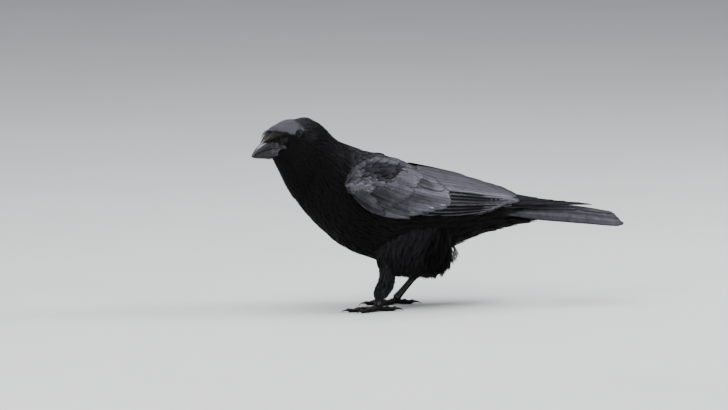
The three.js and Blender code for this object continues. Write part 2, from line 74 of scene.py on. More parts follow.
# back x, back z, belly x, belly z, half width, level of the widest line, squareness
BODY = np.array([
    (-220.2, 221.7, -215.5, 194, 7.5, 0.6, 2.6),
    (-214.8, 226, -212, 187.5, 11, 0.58, 2.5),
    (-205.6, 228.8, -207, 179.5, 14.5, 0.62, 2.2),
    (-190.8, 232.9, -199.5, 167.5, 19, 0.68, 2),
    (-176, 232.3, -190.5, 154.5, 22, 0.66, 2),
    (-158, 233, -178, 139, 26, 0.6, 2),
    (-140, 225.5, -162, 119, 33, 0.56, 2),
    (-121, 207, -141.5, 97, 41.5, 0.53, 2.1),
    (-99, 195.5, -118.5, 79, 48, 0.52, 2.1),
    (-73, 188.5, -95, 66.5, 51, 0.52, 2.15),
    (-44, 180, -66, 58.5, 51.5, 0.53, 2.15),
    (-13, 166, -33, 56.5, 48, 0.55, 2.1),
    (16, 155, 0, 63, 41.5, 0.57, 2),
    (42, 146, 28, 75.5, 34, 0.58, 2),
    (67, 137, 57, 87, 26, 0.6, 2),
    (92, 128, 87, 93.5, 19.5, 0.6, 2),
    (117, 120.5, 116, 99, 15, 0.6, 2),
], float)
EYE_SIDE = 19.15 - EYE_SET_IN

# x, then the upper edge, the side's control point and the lower edge, each from the midline and z
WING = np.array([
    (-121, 45, 160, 52, 156.5, 49, 151),
    (-114, 39, 171, 65, 160, 50, 138.5),
    (-100, 33, 180.5, 70, 163, 51, 127),
    (-78, 25, 186, 74, 160, 53, 119),
    (-47, 16, 182, 74, 154, 52, 114.5),
    (-10, 10, 169, 67, 147, 47, 113.5),
    (28, 6, 158.5, 55, 141.5, 39, 114.5),
    (62, 3, 148, 41, 135, 30, 116.5),
    (84, 2, 141.5, 27, 131, 21, 119.5),
    (101, 1.8, 135.5, 22, 128, 18, 118.8),
    (135, 1.6, 128.5, 17, 124, 15, 119.2),
    (170, 1.6, 124.3, 12, 121.5, 10.5, 118.6),
    (205, 1.6, 120.5, 8, 119.2, 7, 117.5),
    (240, 1.6, 116.6, 4, 116.5, 4, 115.8),
], float)

# x, half width, height of the ridge, height of the edge
TAIL = np.array([
    (58, 14, 119.5, 111),
    (90, 20, 120.5, 107.5),
    (122, 22.5, 120, 103.5),
    (154, 24.8, 118, 101.2),
    (186, 26.5, 113.8, 99.4),
    (218, 28, 107.2, 97.2),
    (250, 29, 100.8, 95.4),
], float)

# height, middle and half size along the body, then across it
LEFT_THIGH = np.array([
    (112, -31, 46, 26, 22),
    (95, -34, 46, 28, 22.5),
    (78, -36.5, 43.5, 29, 20.5),
    (64, -36, 43.5, 29, 17.5),
    (53, -36, 40, 28.5, 14),
    (46, -35, 32.5, 28, 10),
    (42.5, -33, 23, 28, 5),
], float)
LEFT_SOCK = np.array([
    (66, -63.5, 15, 28, 13),
    (54, -65, 11, 28, 10.5),
    (44, -65.5, 9.4, 28, 8.8),
    (34, -67.5, 10.4, 28, 8.6),
    (26, -70.5, 10.8, 28, 8.2),
    (20, -73, 9, 28, 6.8),
    (15.5, -74.6, 6.2, 28, 5.4),
], float)
RIGHT_THIGH = np.array([
    (112, -28, 46, 26, 22),
    (95, -28, 45, 28, 22.5),
    (78, -26, 42, 29, 20.5),
    (64, -22.5, 36, 29, 17.5),
    (54, -20, 29, 28.5, 14),
    (48, -18, 21, 28, 10.5),
    (44.5, -16, 14, 28, 7),
], float)
RIGHT_SOCK = np.array([
    (62, -8, 15, 28, 12),
    (52, -9, 11, 28, 9.5),
    (43, -11, 8, 28, 7.2),
    (36, -15, 6, 28, 5.6),
    (32, -18.5, 4.8, 28, 4.8),
], float)

# forward from the eyes, culmen, edge of the mouth, keel, half width
BILL = np.array([
    (15, 5.5, -9.8, -20.5, 11.6),
    (27, 6.2, -9.5, -23.4, 10),
    (37, 3.4, -9.4, -23.4, 8.2),
    (46, -1.1, -9.7, -20.6, 6.2),
    (55, -5.3, -11, -18.3, 4.3),
    (61.5, -10.1, -13, -16.4, 2.7),
    (65, -13.7, -15.1, -16.1, 1.2),
], float)

# forward from the eyes, height of the middle, rise, half width
NOSTRIL_CAP = np.array([
    (10, -1.4, 7.4, 12),
    (19, -0.8, 8.2, 12.2),
    (28, -0.4, 8.6, 10.8),
    (36.5, -1, 5.2, 6.8),
    (44.5, -2.2, 2, 3),
], float)


# ---- Small sums ----


def unit(v: Array) -> Array:
    """Vectors of length one."""
    return v / np.maximum(np.linalg.norm(v, axis=-1, keepdims=True), 1e-12)


def dot(a: Array, b: Array) -> Array:
    """The dot product over the last axis, which is kept."""
    return np.sum(a * b, axis=-1, keepdims=True)


def ease(low: float, high: float, x: Array) -> Array:
    """0 up to low, 1 from high on and a smooth rise between."""
    f = np.clip((np.asarray(x, float) - low) / (high - low), 0, 1)
    return f * f * (3 - 2 * f)


def mix(a: Array, b: Array, share: Array) -> Array:
    """The blend of a and b."""
    return a + (b - a) * share


def share_of(x: Array, ends: Pair) -> Array:
    """Where x lies from one end, 0, to the other, 1."""
    return (x - ends[0]) / (ends[1] - ends[0])


def hump(x: Array, middle: float, width: float) -> Array:
    """A bell that is 1 at its middle."""
    return np.exp(-(((x - middle) / width) ** 2))


def grid(rows: Array, columns: Array) -> tuple[Array, ...]:
    """The row numbers and the column numbers of a grid's points."""
    return tuple(np.meshgrid(rows, columns, indexing="ij"))


def circle(count: int) -> Array:
    """Angles evenly round a circle."""
    return np.linspace(0, 2 * np.pi, count, endpoint=False)


def tri(a: Array, b: Array, c: Array) -> Array:
    """Triangles from the numbers of their three corners."""
    return np.stack([a, b, c], -1).reshape(-1, 3)


def wall(a: Array, b: Array, tip: int) -> list[Array]:
    """The triangles between two lines of points that end in one tip."""
    return [tri(a[:-1], a[1:], b[1:]), tri(a[:-1], b[1:], b[:-1]), tri(a[-1], tip, b[-1])]


def by_row(rows: Sequence[float], values: Sequence[float]) -> Field:
    """A number that changes along a chart's rows only."""
    return lambda t, a: np.interp(t, rows, values)


def always(value: float) -> Field:
    """The same number at every place."""
    return lambda t, a: np.full(np.shape(t), value)


def everywhere(t: Array, a: Array) -> Array:
    """Keeps every place."""
    return np.ones(np.shape(t), bool)


def through(table: Array, t: Array) -> Array:
    """Reads a smooth curve through the rows of a table.

    Args:
        table: Rows of numbers at t = 0, 1, 2 and so on.
        t: Where to read, of any shape.

    Returns:
        The numbers at each t, with the row's numbers on a last axis.
    """
    t = np.asarray(t, float)
    ends = np.concatenate([2 * table[:1] - table[1:2], table, 2 * table[-1:] - table[-2:-1]])
    i = np.clip(np.floor(t).astype(int), 0, len(table) - 2)
    f = (t - i)[..., None]
    a, b, c, d = ends[i], ends[i + 1], ends[i + 2], ends[i + 3]
    return 0.5 * (2 * b + (c - a) * f + (2 * a - 5 * b + 4 * c - d) * f**2 + (3 * b - a - 3 * c + d) * f**3)


def station_of(table: Array, value: Array, column: int = 0) -> Array:
    """Where a column of a table reaches a value, as a row number."""
    fine = np.linspace(0, len(table) - 1, 60 * len(table))
    read = through(table, fine)[:, column]
    order = np.argsort(read)
    return np.interp(value, read[order], fine[order])


def swell(value: Array, exponent: Array) -> Array:
    """The sign-keeping power that bends a circle into a rounder or a squarer ring."""
    return np.sign(value) * np.abs(value) ** exponent


def turned(p: Array, angle: Array) -> Array:
    """Points turned about the neck's upright line."""
    x = p[..., 0] - TURN_AXIS_X
    return np.stack([
        TURN_AXIS_X + x * np.cos(angle) - p[..., 1] * np.sin(angle),
        x * np.sin(angle) + p[..., 1] * np.cos(angle),
        p[..., 2],
    ], -1)


def head_point(u: Array, v: Array, w: Array) -> Array:
    """Points of the head's own measure: u forward from the eyes, v to the bird's left and w up."""
    u, v, w = np.broadcast_arrays(np.asarray(u, float), np.asarray(v, float), np.asarray(w, float))
    c, s = math.cos(HEAD_PITCH), math.sin(HEAD_PITCH)
    return turned(np.stack([HEAD_X - u * c - w * s, -v, HEAD_Z - u * s + w * c], -1), HEAD_TURN)


# ---- Surfaces ----


@dataclass
class Chart:
    """A smooth surface that is read at a row number and a column number, in any order.

    Attributes:
        rows: The first and last row number.
        columns: The first and last column number. A ring's last column is its first one again.
        ring: Whether the columns close.
        table: Place, outward normal, and the steps along rows and columns, at each grid point.
    """

    rows: Pair
    columns: Pair
    ring: bool
    table: Array

    @classmethod
    def of(
        cls, place: Field, rows: Pair, columns: Pair, size: tuple[int, int],
        core: Callable[[Array], Array], ring: bool = False,
    ) -> "Chart":
        """Tabulates a surface.

        Args:
            place: Gives the surface's points from row and column numbers.
            rows: The first and last row number.
            columns: The first and last column number.
            size: How many grid rows and columns to keep.
            core: Gives, for each surface point, a point on its inner side.
            ring: Whether the columns close.
        """
        s = np.linspace(*rows, size[0])
        a = np.linspace(*columns, size[1], endpoint=not ring)
        grid_s, grid_a = grid(s, a)
        step_s, step_a = 1e-3 * (rows[1] - rows[0]), 1e-3 * (columns[1] - columns[0])
        points = place(grid_s, grid_a)
        along = (place(grid_s + step_s, grid_a) - place(grid_s - step_s, grid_a)) / (2 * step_s)
        across = (place(grid_s, grid_a + step_a) - place(grid_s, grid_a - step_a)) / (2 * step_a)
        normal = unit(np.cross(along, across))
        if np.mean(dot(normal, points - core(points))) < 0:
            normal = -normal
        return cls(rows, columns, ring, np.concatenate([points, normal, along, across], -1))

    def read(self, s: Array, a: Array) -> tuple[Array, Array, Array, Array]:
        """Points, normals and the two steps at row numbers s and column numbers a."""
        n, m = self.table.shape[:2]
        x = share_of(s, self.rows) * (n - 1)
        y = share_of(a, self.columns) * (m if self.ring else m - 1)
        i = np.clip(np.floor(x).astype(int), 0, n - 2)
        j = np.floor(y).astype(int) if self.ring else np.clip(np.floor(y).astype(int), 0, m - 2)
        f, g = (x - i)[..., None], (y - j)[..., None]
        k = (j + 1) % m if self.ring else j + 1
        j = j % m
        t = self.table
        got = (t[i, j] * (1 - g) + t[i, k] * g) * (1 - f) + (t[i + 1, j] * (1 - g) + t[i + 1, k] * g) * f
        return got[..., 0:3], unit(got[..., 3:6]), got[..., 6:9], got[..., 9:12]

    def steps(self, along: Array, across: Array, way: Array) -> Array:
        """The row and column numbers that a small way on the surface spans, on a last axis."""
        e, f, g = dot(along, along)[..., 0], dot(along, across)[..., 0], dot(across, across)[..., 0]
        p, q = dot(along, way)[..., 0], dot(across, way)[..., 0]
        det = np.maximum(e * g - f * f, 1e-6 * e * g + 1e-9)
        return np.stack([(g * p - f * q) / det, (e * q - f * p) / det], -1)

    def share(self, s: Array, a: Array, rows: Pair) -> Array:
        """Roots as shares of the unrolled surface, for the bake's patches."""
        across = share_of(a, self.columns)
        across = across % 1 if self.ring else np.clip(across, 0, 1)
        return np.stack([np.clip(share_of(s, rows), 0, 1), across], -1)


def body_place(t: Array, a: Array) -> Array:
    """The body's outside: t from the face to the tail's root, a from the back to the bird's right."""
    row = through(BODY, t)
    back = np.stack([row[..., 0], 0 * t, row[..., 1]], -1)
    belly = np.stack([row[..., 2], 0 * t, row[..., 3]], -1)
    bend = 2 / row[..., 6]
    level = row[..., 5]
    rise = swell(np.cos(a), bend)
    lift = level + np.where(rise > 0, 1 - level, level) * rise
    p = mix(belly, back, lift[..., None])
    p[..., 1] = row[..., 4] * swell(np.sin(a), bend)
    return turned(p, HEAD_TURN * (1 - ease(3.4, 8, t)))


def wing_place(side: int) -> Field:
    """The folded wing's outside, from its bend to the tips and from its upper edge (0) down (1)."""

    def place(t: Array, v: Array) -> Array:
        row = through(WING, t)
        parts = [row[..., k] * (1 - v) ** 2 + 2 * row[..., k + 2] * v * (1 - v) + row[..., k + 4] * v**2
                 for k in (1, 2)]
        return np.stack([row[..., 0], side * parts[0], parts[1]], -1)

    return place


def tail_place(t: Array, c: Array) -> Array:
    """The tail's upper side, c from -1 at its left edge to 1."""
    row = through(TAIL, t)
    ridge, drop = row[..., 2], row[..., 2] - row[..., 3]
    fold = np.sqrt(c * c + 0.004)
    return np.stack([row[..., 0], c * row[..., 1], ridge - drop * (0.3 * fold + 0.7 * c * c)], -1)


def sliced_place(slices: Array, side: int) -> Field:
    """A leg's feathered outside, t down its slices and a round it from its rear outwards."""

    def place(t: Array, a: Array) -> Array:
        row = through(slices, t)
        return np.stack([
            row[..., 1] + np.maximum(row[..., 2], 0.5) * np.cos(a),
            side * (row[..., 3] + np.maximum(row[..., 4], 0.5) * np.sin(a)),
            row[..., 0],
        ], -1)

    return place


def cap_place(t: Array, a: Array) -> Array:
    """The cap over the nostrils, t from the face forwards and a from its left side over the top."""
    row = through(NOSTRIL_CAP, t)
    across = row[..., 3] * swell(np.cos(a), 0.8)
    groove = 1.8 * hump(across, 0, 2.4) * (np.sin(a) > 0)
    return head_point(row[..., 0], across, row[..., 1] + 0.6 + row[..., 2] * swell(np.sin(a), 0.8) - groove)


def ring_core(points: Array) -> Array:
    """The middle of each row of points."""
    return np.broadcast_to(points.mean(1, keepdims=True), points.shape)


BODY_CHART = Chart.of(body_place, (-0.4, 16.4), (-math.pi, math.pi), (420, 256), ring_core, ring=True)
WING_CHARTS = {
    side: Chart.of(wing_place(side), (-0.4, 13), (-0.3, 1.25), (520, 120),
                   lambda p: p * (1, 0, 0) + (0, 0, 135))
    for side in (-1, 1)
}
TAIL_CHART = Chart.of(tail_place, (0, 6), (-1.4, 1.4), (200, 90), lambda p: p - (0, 0, 500))
CAP_CHART = Chart.of(cap_place, (0, 4.6), (-0.6, math.pi + 0.6), (90, 90),
                     lambda p: head_point(25, 0, -1) + 0 * p)


# ---- Vanes ----


class Outline(Enum):
    """The outline of a feather's vane: where it starts to narrow, and the two powers of its tip."""

    ROUND = (0.5, 2.0, 0.5)
    BROAD = (0.68, 2.3, 0.5)
    LANCE = (0.2, 1.25, 1.0)
    FLIGHT = (0.86, 2.0, 0.5)
    BLUNT = (0.9, 2.6, 0.42)
    BLADE = (0.45, 1.7, 0.75)

    def width(self, x: Array) -> Array:
        """The half width at shares x of the length, as a share of the widest."""
        start, bulge, tip = self.value
        root = 0.3 + 0.7 * np.minimum(x / 0.35, 1) ** 0.7
        f = np.clip((x - start) / (1 - start), 0, 1)
        return root * np.maximum(1 - f**bulge, 0) ** tip


@dataclass
class Template:
    """One feather in its own measure, to be laid on a surface many times.

    Attributes:
        along: Shares of the length.
        across: Shares of the half width, positive on the inner side.
        crown: How far a point shares in the feather's arch.
        under: How far a point lies under the vane, in thicknesses.
        faces: Triangles that face out.
        flat: Whether each triangle is shaded flat.
    """

    along: Array
    across: Array
    crown: Array
    under: Array
    faces: Array
    flat: Array

    def mirrored(self) -> "Template":
        """The feather of the other side."""
        return Template(self.along, -self.across, self.crown, self.under, self.faces[:, ::-1], self.flat)


def vane(
    outline: Outline, rows: int, columns: Sequence[float], rng: Rng,
    ragged: float = 0.05, outer: float = 1.0, ridge: float = 0.0, splits: int = 0,
) -> Template:
    """A closed lens of a vane.

    Args:
        outline: The shape of the vane.
        rows: How many rows of points it has before its tip.
        columns: The columns' places, from -1 to 1.
        rng: Draws the raggedness.
        ragged: How uneven its rim is.
        outer: The outer half's width as a share of the inner half's.
        ridge: The height of the shaft over the vane, as a share of the arch.
        splits: How many gaps between barbs its rim shows.
    """
    c = np.asarray(columns, float)
    x = 1 - (1 - np.arange(rows) / (rows - 0.3)) ** 1.5
    width = np.repeat(outline.width(x)[:, None], 2, 1)
    for _ in range(splits):
        at, side = rng.integers(rows // 3, rows - 1), rng.integers(0, 2)
        width[at, side] *= rng.uniform(0.72, 0.9)
    grid_x = np.repeat(x[:, None], len(c), 1)
    side_width = np.where(c[None] < 0, width[:, :1] * outer, width[:, 1:])
    grid_c = c[None] * side_width
    late = ease(0.35, 1.0, x)[:, None]
    grid_x = grid_x + ragged * rng.normal(size=grid_x.shape) * late * 0.6
    grid_c = grid_c * (1 + ragged * rng.normal(size=grid_c.shape) * np.abs(c)[None])
    crown = np.broadcast_to(1 - c**2 + ridge * hump(c, 0, 0.12), grid_x.shape)
    n, m = rows, len(c)
    top = np.arange(n * m).reshape(n, m)
    below = n * m + np.arange(n)
    tip = n * m + n
    p, q, r, s = top[:-1, :-1], top[1:, :-1], top[1:, 1:], top[:-1, 1:]
    faces = [tri(p, q, r), tri(p, r, s), tri(top[-1, :-1], np.full(m - 1, tip), top[-1, 1:])]
    smooth = sum(len(f) for f in faces)
    left, right = top[:, 0], top[:, -1]
    for a, b in ((below, left), (right, below)):
        faces += wall(a, b, tip)
    faces.append(tri(np.full(m - 1, below[0]), top[0, :-1], top[0, 1:]))
    whole = np.concatenate(faces)
    return Template(
        np.concatenate([grid_x.ravel(), x, [1.0]]),
        np.concatenate([grid_c.ravel(), np.zeros(n), [0.0]]),
        np.concatenate([crown.ravel(), np.ones(n), [0.2]]),
        np.concatenate([np.zeros(n * m), np.ones(n), [0.4]]),
        whole, np.arange(len(whole)) >= smooth,
    )


def strand(points: Array, half: Array, base: int) -> tuple[Array, Array, Array]:
    """A barb: a three-sided sliver along points of a feather's own measure.

    Args:
        points: Along and across at each joint, in half widths.
        half: The barb's half width at each joint but the last.
        base: The number of its first point.

    Returns:
        Its points (along, across, under) and its triangles.
    """
    way = unit(np.gradient(points, axis=0))
    side = np.stack([-way[:, 1], way[:, 0]], -1)
    n = len(points) - 1
    left = points[:-1] + side[:-1] * half[:, None]
    right = points[:-1] - side[:-1] * half[:, None]
    body = np.empty((n, 3, 3))
    body[:, 0, :2], body[:, 1, :2], body[:, 2, :2] = left, right, points[:-1]
    body[:, :2, 2], body[:, 2, 2] = 0, 1
    at = base + np.arange(3 * n).reshape(n, 3)
    tip = base + 3 * n
    faces: list[Array] = []
    for a, b in ((1, 0), (0, 2), (2, 1)):
        faces += wall(at[:, a], at[:, b], tip)
    faces.append(tri(at[0, 0], at[0, 2], at[0, 1]))
    return np.concatenate([body.reshape(-1, 3), [[*points[-1], 0.5]]]), np.concatenate(faces)


def plume(rng: Rng, barbs: int = 12, slim: float = 0.5, aspect: float = 4.0) -> Template:
    """A loose feather: a slim vane whose outer half falls apart into barbs.

    Args:
        rng: Draws the barbs.
        barbs: How many barbs it has.
        slim: The vane's width as a share of the feather's.
        aspect: The feather's length in half widths, so that barbs keep their thickness.
    """
    core = vane(Outline.LANCE, 5, (-1, 0, 1), rng, 0.04)
    parts = [np.stack([core.along, core.across * slim, core.under], -1)]
    faces, flat, count = [core.faces], [core.flat], len(core.along)
    for k in range(barbs):
        f = (k + rng.uniform(0.1, 0.9)) / barbs
        side = 1 if k % 2 else -1
        start = mix(0.22, 0.82, f)
        reach = rng.uniform(0.75, 1.1) * mix(1.0, 0.35, f)
        end = min(start + mix(0.42, 0.24, f) * rng.uniform(0.85, 1.2), 1.08)
        share = np.linspace(0, 1, 4)
        line = np.stack([mix(start, end, share) * aspect, side * reach * share**0.75], -1)
        points, tris = strand(line, np.array([0.075, 0.07, 0.05]), count)
        points[:, 0] /= aspect
        parts.append(points)
        faces.append(tris)
        flat.append(np.zeros(len(tris), bool))
        count += len(points)
    p = np.concatenate(parts)
    return Template(p[:, 0], p[:, 1], 1 - np.clip(p[:, 1], -1, 1) ** 2, p[:, 2],
                    np.concatenate(faces), np.concatenate(flat))


# ---- Laying feathers ----

JOINTS = 9  # points along the line that a feather follows
ROWS_TRIED, COLUMNS_TRIED = 160, 200  # the grid on which roots are weighed
TRIES = 4.5  # roots drawn for each one that there is room for
CLOSEST = 0.8  # the least gap that is let pass, as a share of the one asked for


@dataclass
class Lines:
    """The lines that feathers follow on a chart, from root to tip."""

    chart: Chart
    path: Array
    way: Array
    length: Array

    @classmethod
    def marched(
        cls, chart: Chart, s: Array, a: Array, way: Array, length: Array, bend: Array | float = 0.0,
    ) -> "Lines":
        """Lines that start at roots and run straight on over the surface.

        Args:
            chart: The surface.
            s: The roots' row numbers.
            a: The roots' column numbers.
            way: The way each feather starts, in space.
            length: The feathers' lengths.
            bend: How far each turns to its left on its way, in radians.
        """
        path = np.empty((len(s), JOINTS, 2))
        ways = np.empty((len(s), JOINTS, 3))
        here = np.stack([s, a], -1)
        step = (length / (JOINTS - 1))[:, None]
        turn = (np.broadcast_to(bend, length.shape) / (JOINTS - 1))[:, None]
        for k in range(JOINTS):
            _, normal, along, across = chart.read(here[:, 0], here[:, 1])
            way = unit(way - dot(way, normal) * normal)
            path[:, k], ways[:, k] = here, way
            here = here + chart.steps(along, across, way * step)
            way = way * np.cos(turn) + np.cross(normal, way) * np.sin(turn)
        return cls(chart, path, ways, length)

    @classmethod
    def aimed(cls, chart: Chart, roots: Array, tips: Array, bow: Array | float = 0.0) -> "Lines":
        """Lines from roots to tips, both given as row and column numbers.

        Args:
            chart: The surface.
            roots: Row and column numbers of the roots.
            tips: The same of the tips.
            bow: How far each line's middle bows out, in columns.
        """
        share = np.linspace(0, 1, JOINTS)[None, :, None]
        path = mix(roots[:, None], tips[:, None], share)
        path[..., 1] += np.reshape(bow, (-1, 1)) * np.sin(np.pi * share[..., 0])
        places = chart.read(path[..., 0], path[..., 1])[0]
        gaps = np.linalg.norm(np.diff(places, axis=1), axis=-1)
        return cls(chart, path, unit(np.gradient(places, axis=1)), gaps.sum(1))

    def kept(self, keep: Array) -> "Lines":
        """The lines that a mask keeps."""
        return Lines(self.chart, self.path[keep], self.way[keep], self.length[keep])

    def at(self, share: Array) -> tuple[Array, Array]:
        """Row and column numbers, and ways, at shares of each line."""
        x = np.broadcast_to(share, (len(self.length), share.shape[-1])) * (JOINTS - 1)
        k = np.clip(np.floor(x).astype(int), 0, JOINTS - 2)
        f = (x - k)[..., None]
        row = np.arange(len(x))[:, None]
        way = mix(self.way[row, k], self.way[row, k + 1], f)
        return mix(self.path[row, k], self.path[row, k + 1], f), unit(way)

    def places(self) -> Array:
        """The points of each line in space."""
        return self.chart.read(self.path[..., 0], self.path[..., 1])[0]

    def cut(self, share: Array) -> "Lines":
        """The same lines, each cut to a share of its length."""
        path, way = self.at(np.linspace(0, 1, JOINTS)[None] * share[:, None])
        return Lines(self.chart, path, way, self.length * share)


@dataclass
class Pile:
    """How a group of feathers lies: all in millimetres over the surface.

    Attributes:
        sink: The root's height, below zero where it is under the surface.
        rise: The tip's height.
        arch: How high the shaft stands over the vane's edges.
        tilt: How much higher the inner edge is than the outer one.
        thick: The vane's thickness.
        press: The power of the way from sink to rise.
    """

    sink: Array | float = -1.5
    rise: Array | float = 0.6
    arch: Array | float = 0.5
    tilt: Array | float = 0.0
    thick: float = 0.16
    press: float = 0.8


def lay(lines: Lines, half: Array, pile: Pile, template: Template) -> Array:
    """Lays a template along each line.

    Args:
        lines: The lines to follow.
        half: Each feather's half width.
        pile: The heights.
        template: The feather.
    """
    at, way = lines.at(np.clip(template.along, -0.1, 1.15)[None])
    chart = lines.chart
    _, normal, along, across = chart.read(at[..., 0], at[..., 1])
    side = unit(np.cross(normal, way))
    offset = template.across[None] * half[:, None]
    at = at + chart.steps(along, across, side * offset[..., None])
    point, normal, _, _ = chart.read(at[..., 0], at[..., 1])

    def col(value: Array | float) -> Array:
        """One number for each feather, in a column."""
        return np.broadcast_to(np.asarray(value, float), half.shape)[:, None]

    share = np.clip(template.along, 0, 1)[None] ** pile.press
    height = col(pile.sink) + (col(pile.rise) - col(pile.sink)) * share
    height = height + col(pile.arch) * template.crown[None] + col(pile.tilt) * template.across[None]
    height = height - pile.thick * template.under[None]
    return point + normal * height[..., None]


def scatter(
    chart: Chart, rows: Pair, spacing: Field, keep: Field, rng: Rng,
) -> tuple[Array, Array]:
    """Roots spread over a part of a chart, none nearer to another than the spacing.

    Args:
        chart: The surface.
        rows: The first and last row number used.
        spacing: Gives the least gap in millimetres at row and column numbers.
        keep: Gives where roots may be, as a mask.
        rng: Draws them.

    Returns:
        The roots' row and column numbers, from the first row to the last.
    """
    s, a = grid(np.linspace(*rows, ROWS_TRIED), np.linspace(*chart.columns, COLUMNS_TRIED))
    _, _, along, across = chart.read(s, a)
    area = np.linalg.norm(np.cross(along, across), axis=-1)
    width = chart.columns[1] - chart.columns[0]
    area *= (rows[1] - rows[0]) * width / s.size
    weight = (area / spacing(s, a) ** 2 * keep(s, a)).ravel()
    count = int(weight.sum() * TRIES)
    cell = rng.choice(s.size, count, p=weight / weight.sum())
    s = s.ravel()[cell] + rng.uniform(-0.5, 0.5, count) * (rows[1] - rows[0]) / (ROWS_TRIED - 1)
    a = a.ravel()[cell] + rng.uniform(-0.5, 0.5, count) * width / (COLUMNS_TRIED - 1)
    points = chart.read(s, a)[0]
    gap = spacing(s, a)
    size = float(gap.max())
    cells: dict[tuple[int, int, int], list[int]] = {}
    chosen: list[int] = []
    keys = np.floor(points / size).astype(int)
    near = [(i, j, k) for i in (-1, 0, 1) for j in (-1, 0, 1) for k in (-1, 0, 1)]
    for index in range(count):
        x, y, z = keys[index]
        others = [o for i, j, k in near for o in cells.get((x + i, y + j, z + k), ())]
        if others:
            apart = np.sum((points[others] - points[index]) ** 2, axis=1).min()
            if apart < (CLOSEST * gap[index]) ** 2:
                continue
        cells.setdefault((x, y, z), []).append(index)
        chosen.append(index)
    order = np.array(chosen)[np.argsort(s[chosen])]
    return s[order], a[order]


# ---- Meshes ----


@dataclass(frozen=True)
class Stand:
    """Where the bird's own measure lies in the frame."""

    shift: tuple[float, float, float]

    @classmethod
    def found(cls) -> "Stand":
        """Reads it from the left eye's place in the frame."""
        low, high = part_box("eye_left")
        middle = np.array((low + high) / 2) * 1000
        return cls(tuple(middle - head_point(0, EYE_SIDE, 0)))

    def metres(self, points: Array) -> Array:
        """Points in the frame's metres."""
        return (points + np.array(self.shift)) * 0.001


STAND = Stand.found()


def placed(name: str, data: bpy.types.ID) -> Object:
    """A new object, linked to the scene."""
    made = bpy.data.objects.new(name, data)
    bpy.context.scene.collection.objects.link(made)
    return made


def facing(name: str, data: bpy.types.ID, place: Vector, way: Vector) -> Object:
    """A camera or a lamp at a place, looking along a way."""
    made = placed(name, data)
    made.location = place
    made.rotation_mode = "QUATERNION"
    made.rotation_quaternion = way.to_track_quat("-Z", "Y")
    return made


def mesh_object(
    name: str, points: Array, faces: Array, finish: Material | None = None,
    flat: Array | None = None, uvs: dict[str, Array] | None = None,
    values: dict[str, Array] | None = None,
) -> Object:
    """A mesh object from points in the bird's own measure.

    Args:
        name: The piece's name.
        points: Its points.
        faces: Its triangles or its quads, all of one kind.
        finish: Its material.
        flat: Whether each face is shaded flat.
        uvs: UV maps, by name, at each point.
        values: Numbers or vectors kept at each point, by name.
    """
    mesh = bpy.data.meshes.new(name)
    sides = faces.shape[1]
    mesh.vertices.add(len(points))
    mesh.vertices.foreach_set("co", STAND.metres(points).astype(np.float32).ravel())
    mesh.loops.add(faces.size)
    mesh.loops.foreach_set("vertex_index", faces.astype(np.int32).ravel())
    mesh.polygons.add(len(faces))
    mesh.polygons.foreach_set("loop_start", np.arange(0, faces.size, sides, dtype=np.int32))
    mesh.update(calc_edges=True)
    smooth = np.ones(len(faces), bool) if flat is None else ~flat
    mesh.polygons.foreach_set("use_smooth", smooth)
    for key, uv in (uvs or {}).items():
        layer = mesh.uv_layers.new(name=key)
        layer.data.foreach_set("uv", uv[faces.ravel()].astype(np.float32).ravel())
    for key, value in (values or {}).items():
        kind, part = ("FLOAT_VECTOR", "vector") if value.ndim == 2 else ("FLOAT", "value")
        mesh.attributes.new(key, kind, "POINT").data.foreach_set(part, value.astype(np.float32).ravel())
    mesh.validate()
    made = placed(name, mesh)
    if finish is not None:
        mesh.materials.append(finish)
    return made


BAKE_PATCH = 0.003  # the size of one feather on the unrolled surface
GLOSS_TOP = 1.4


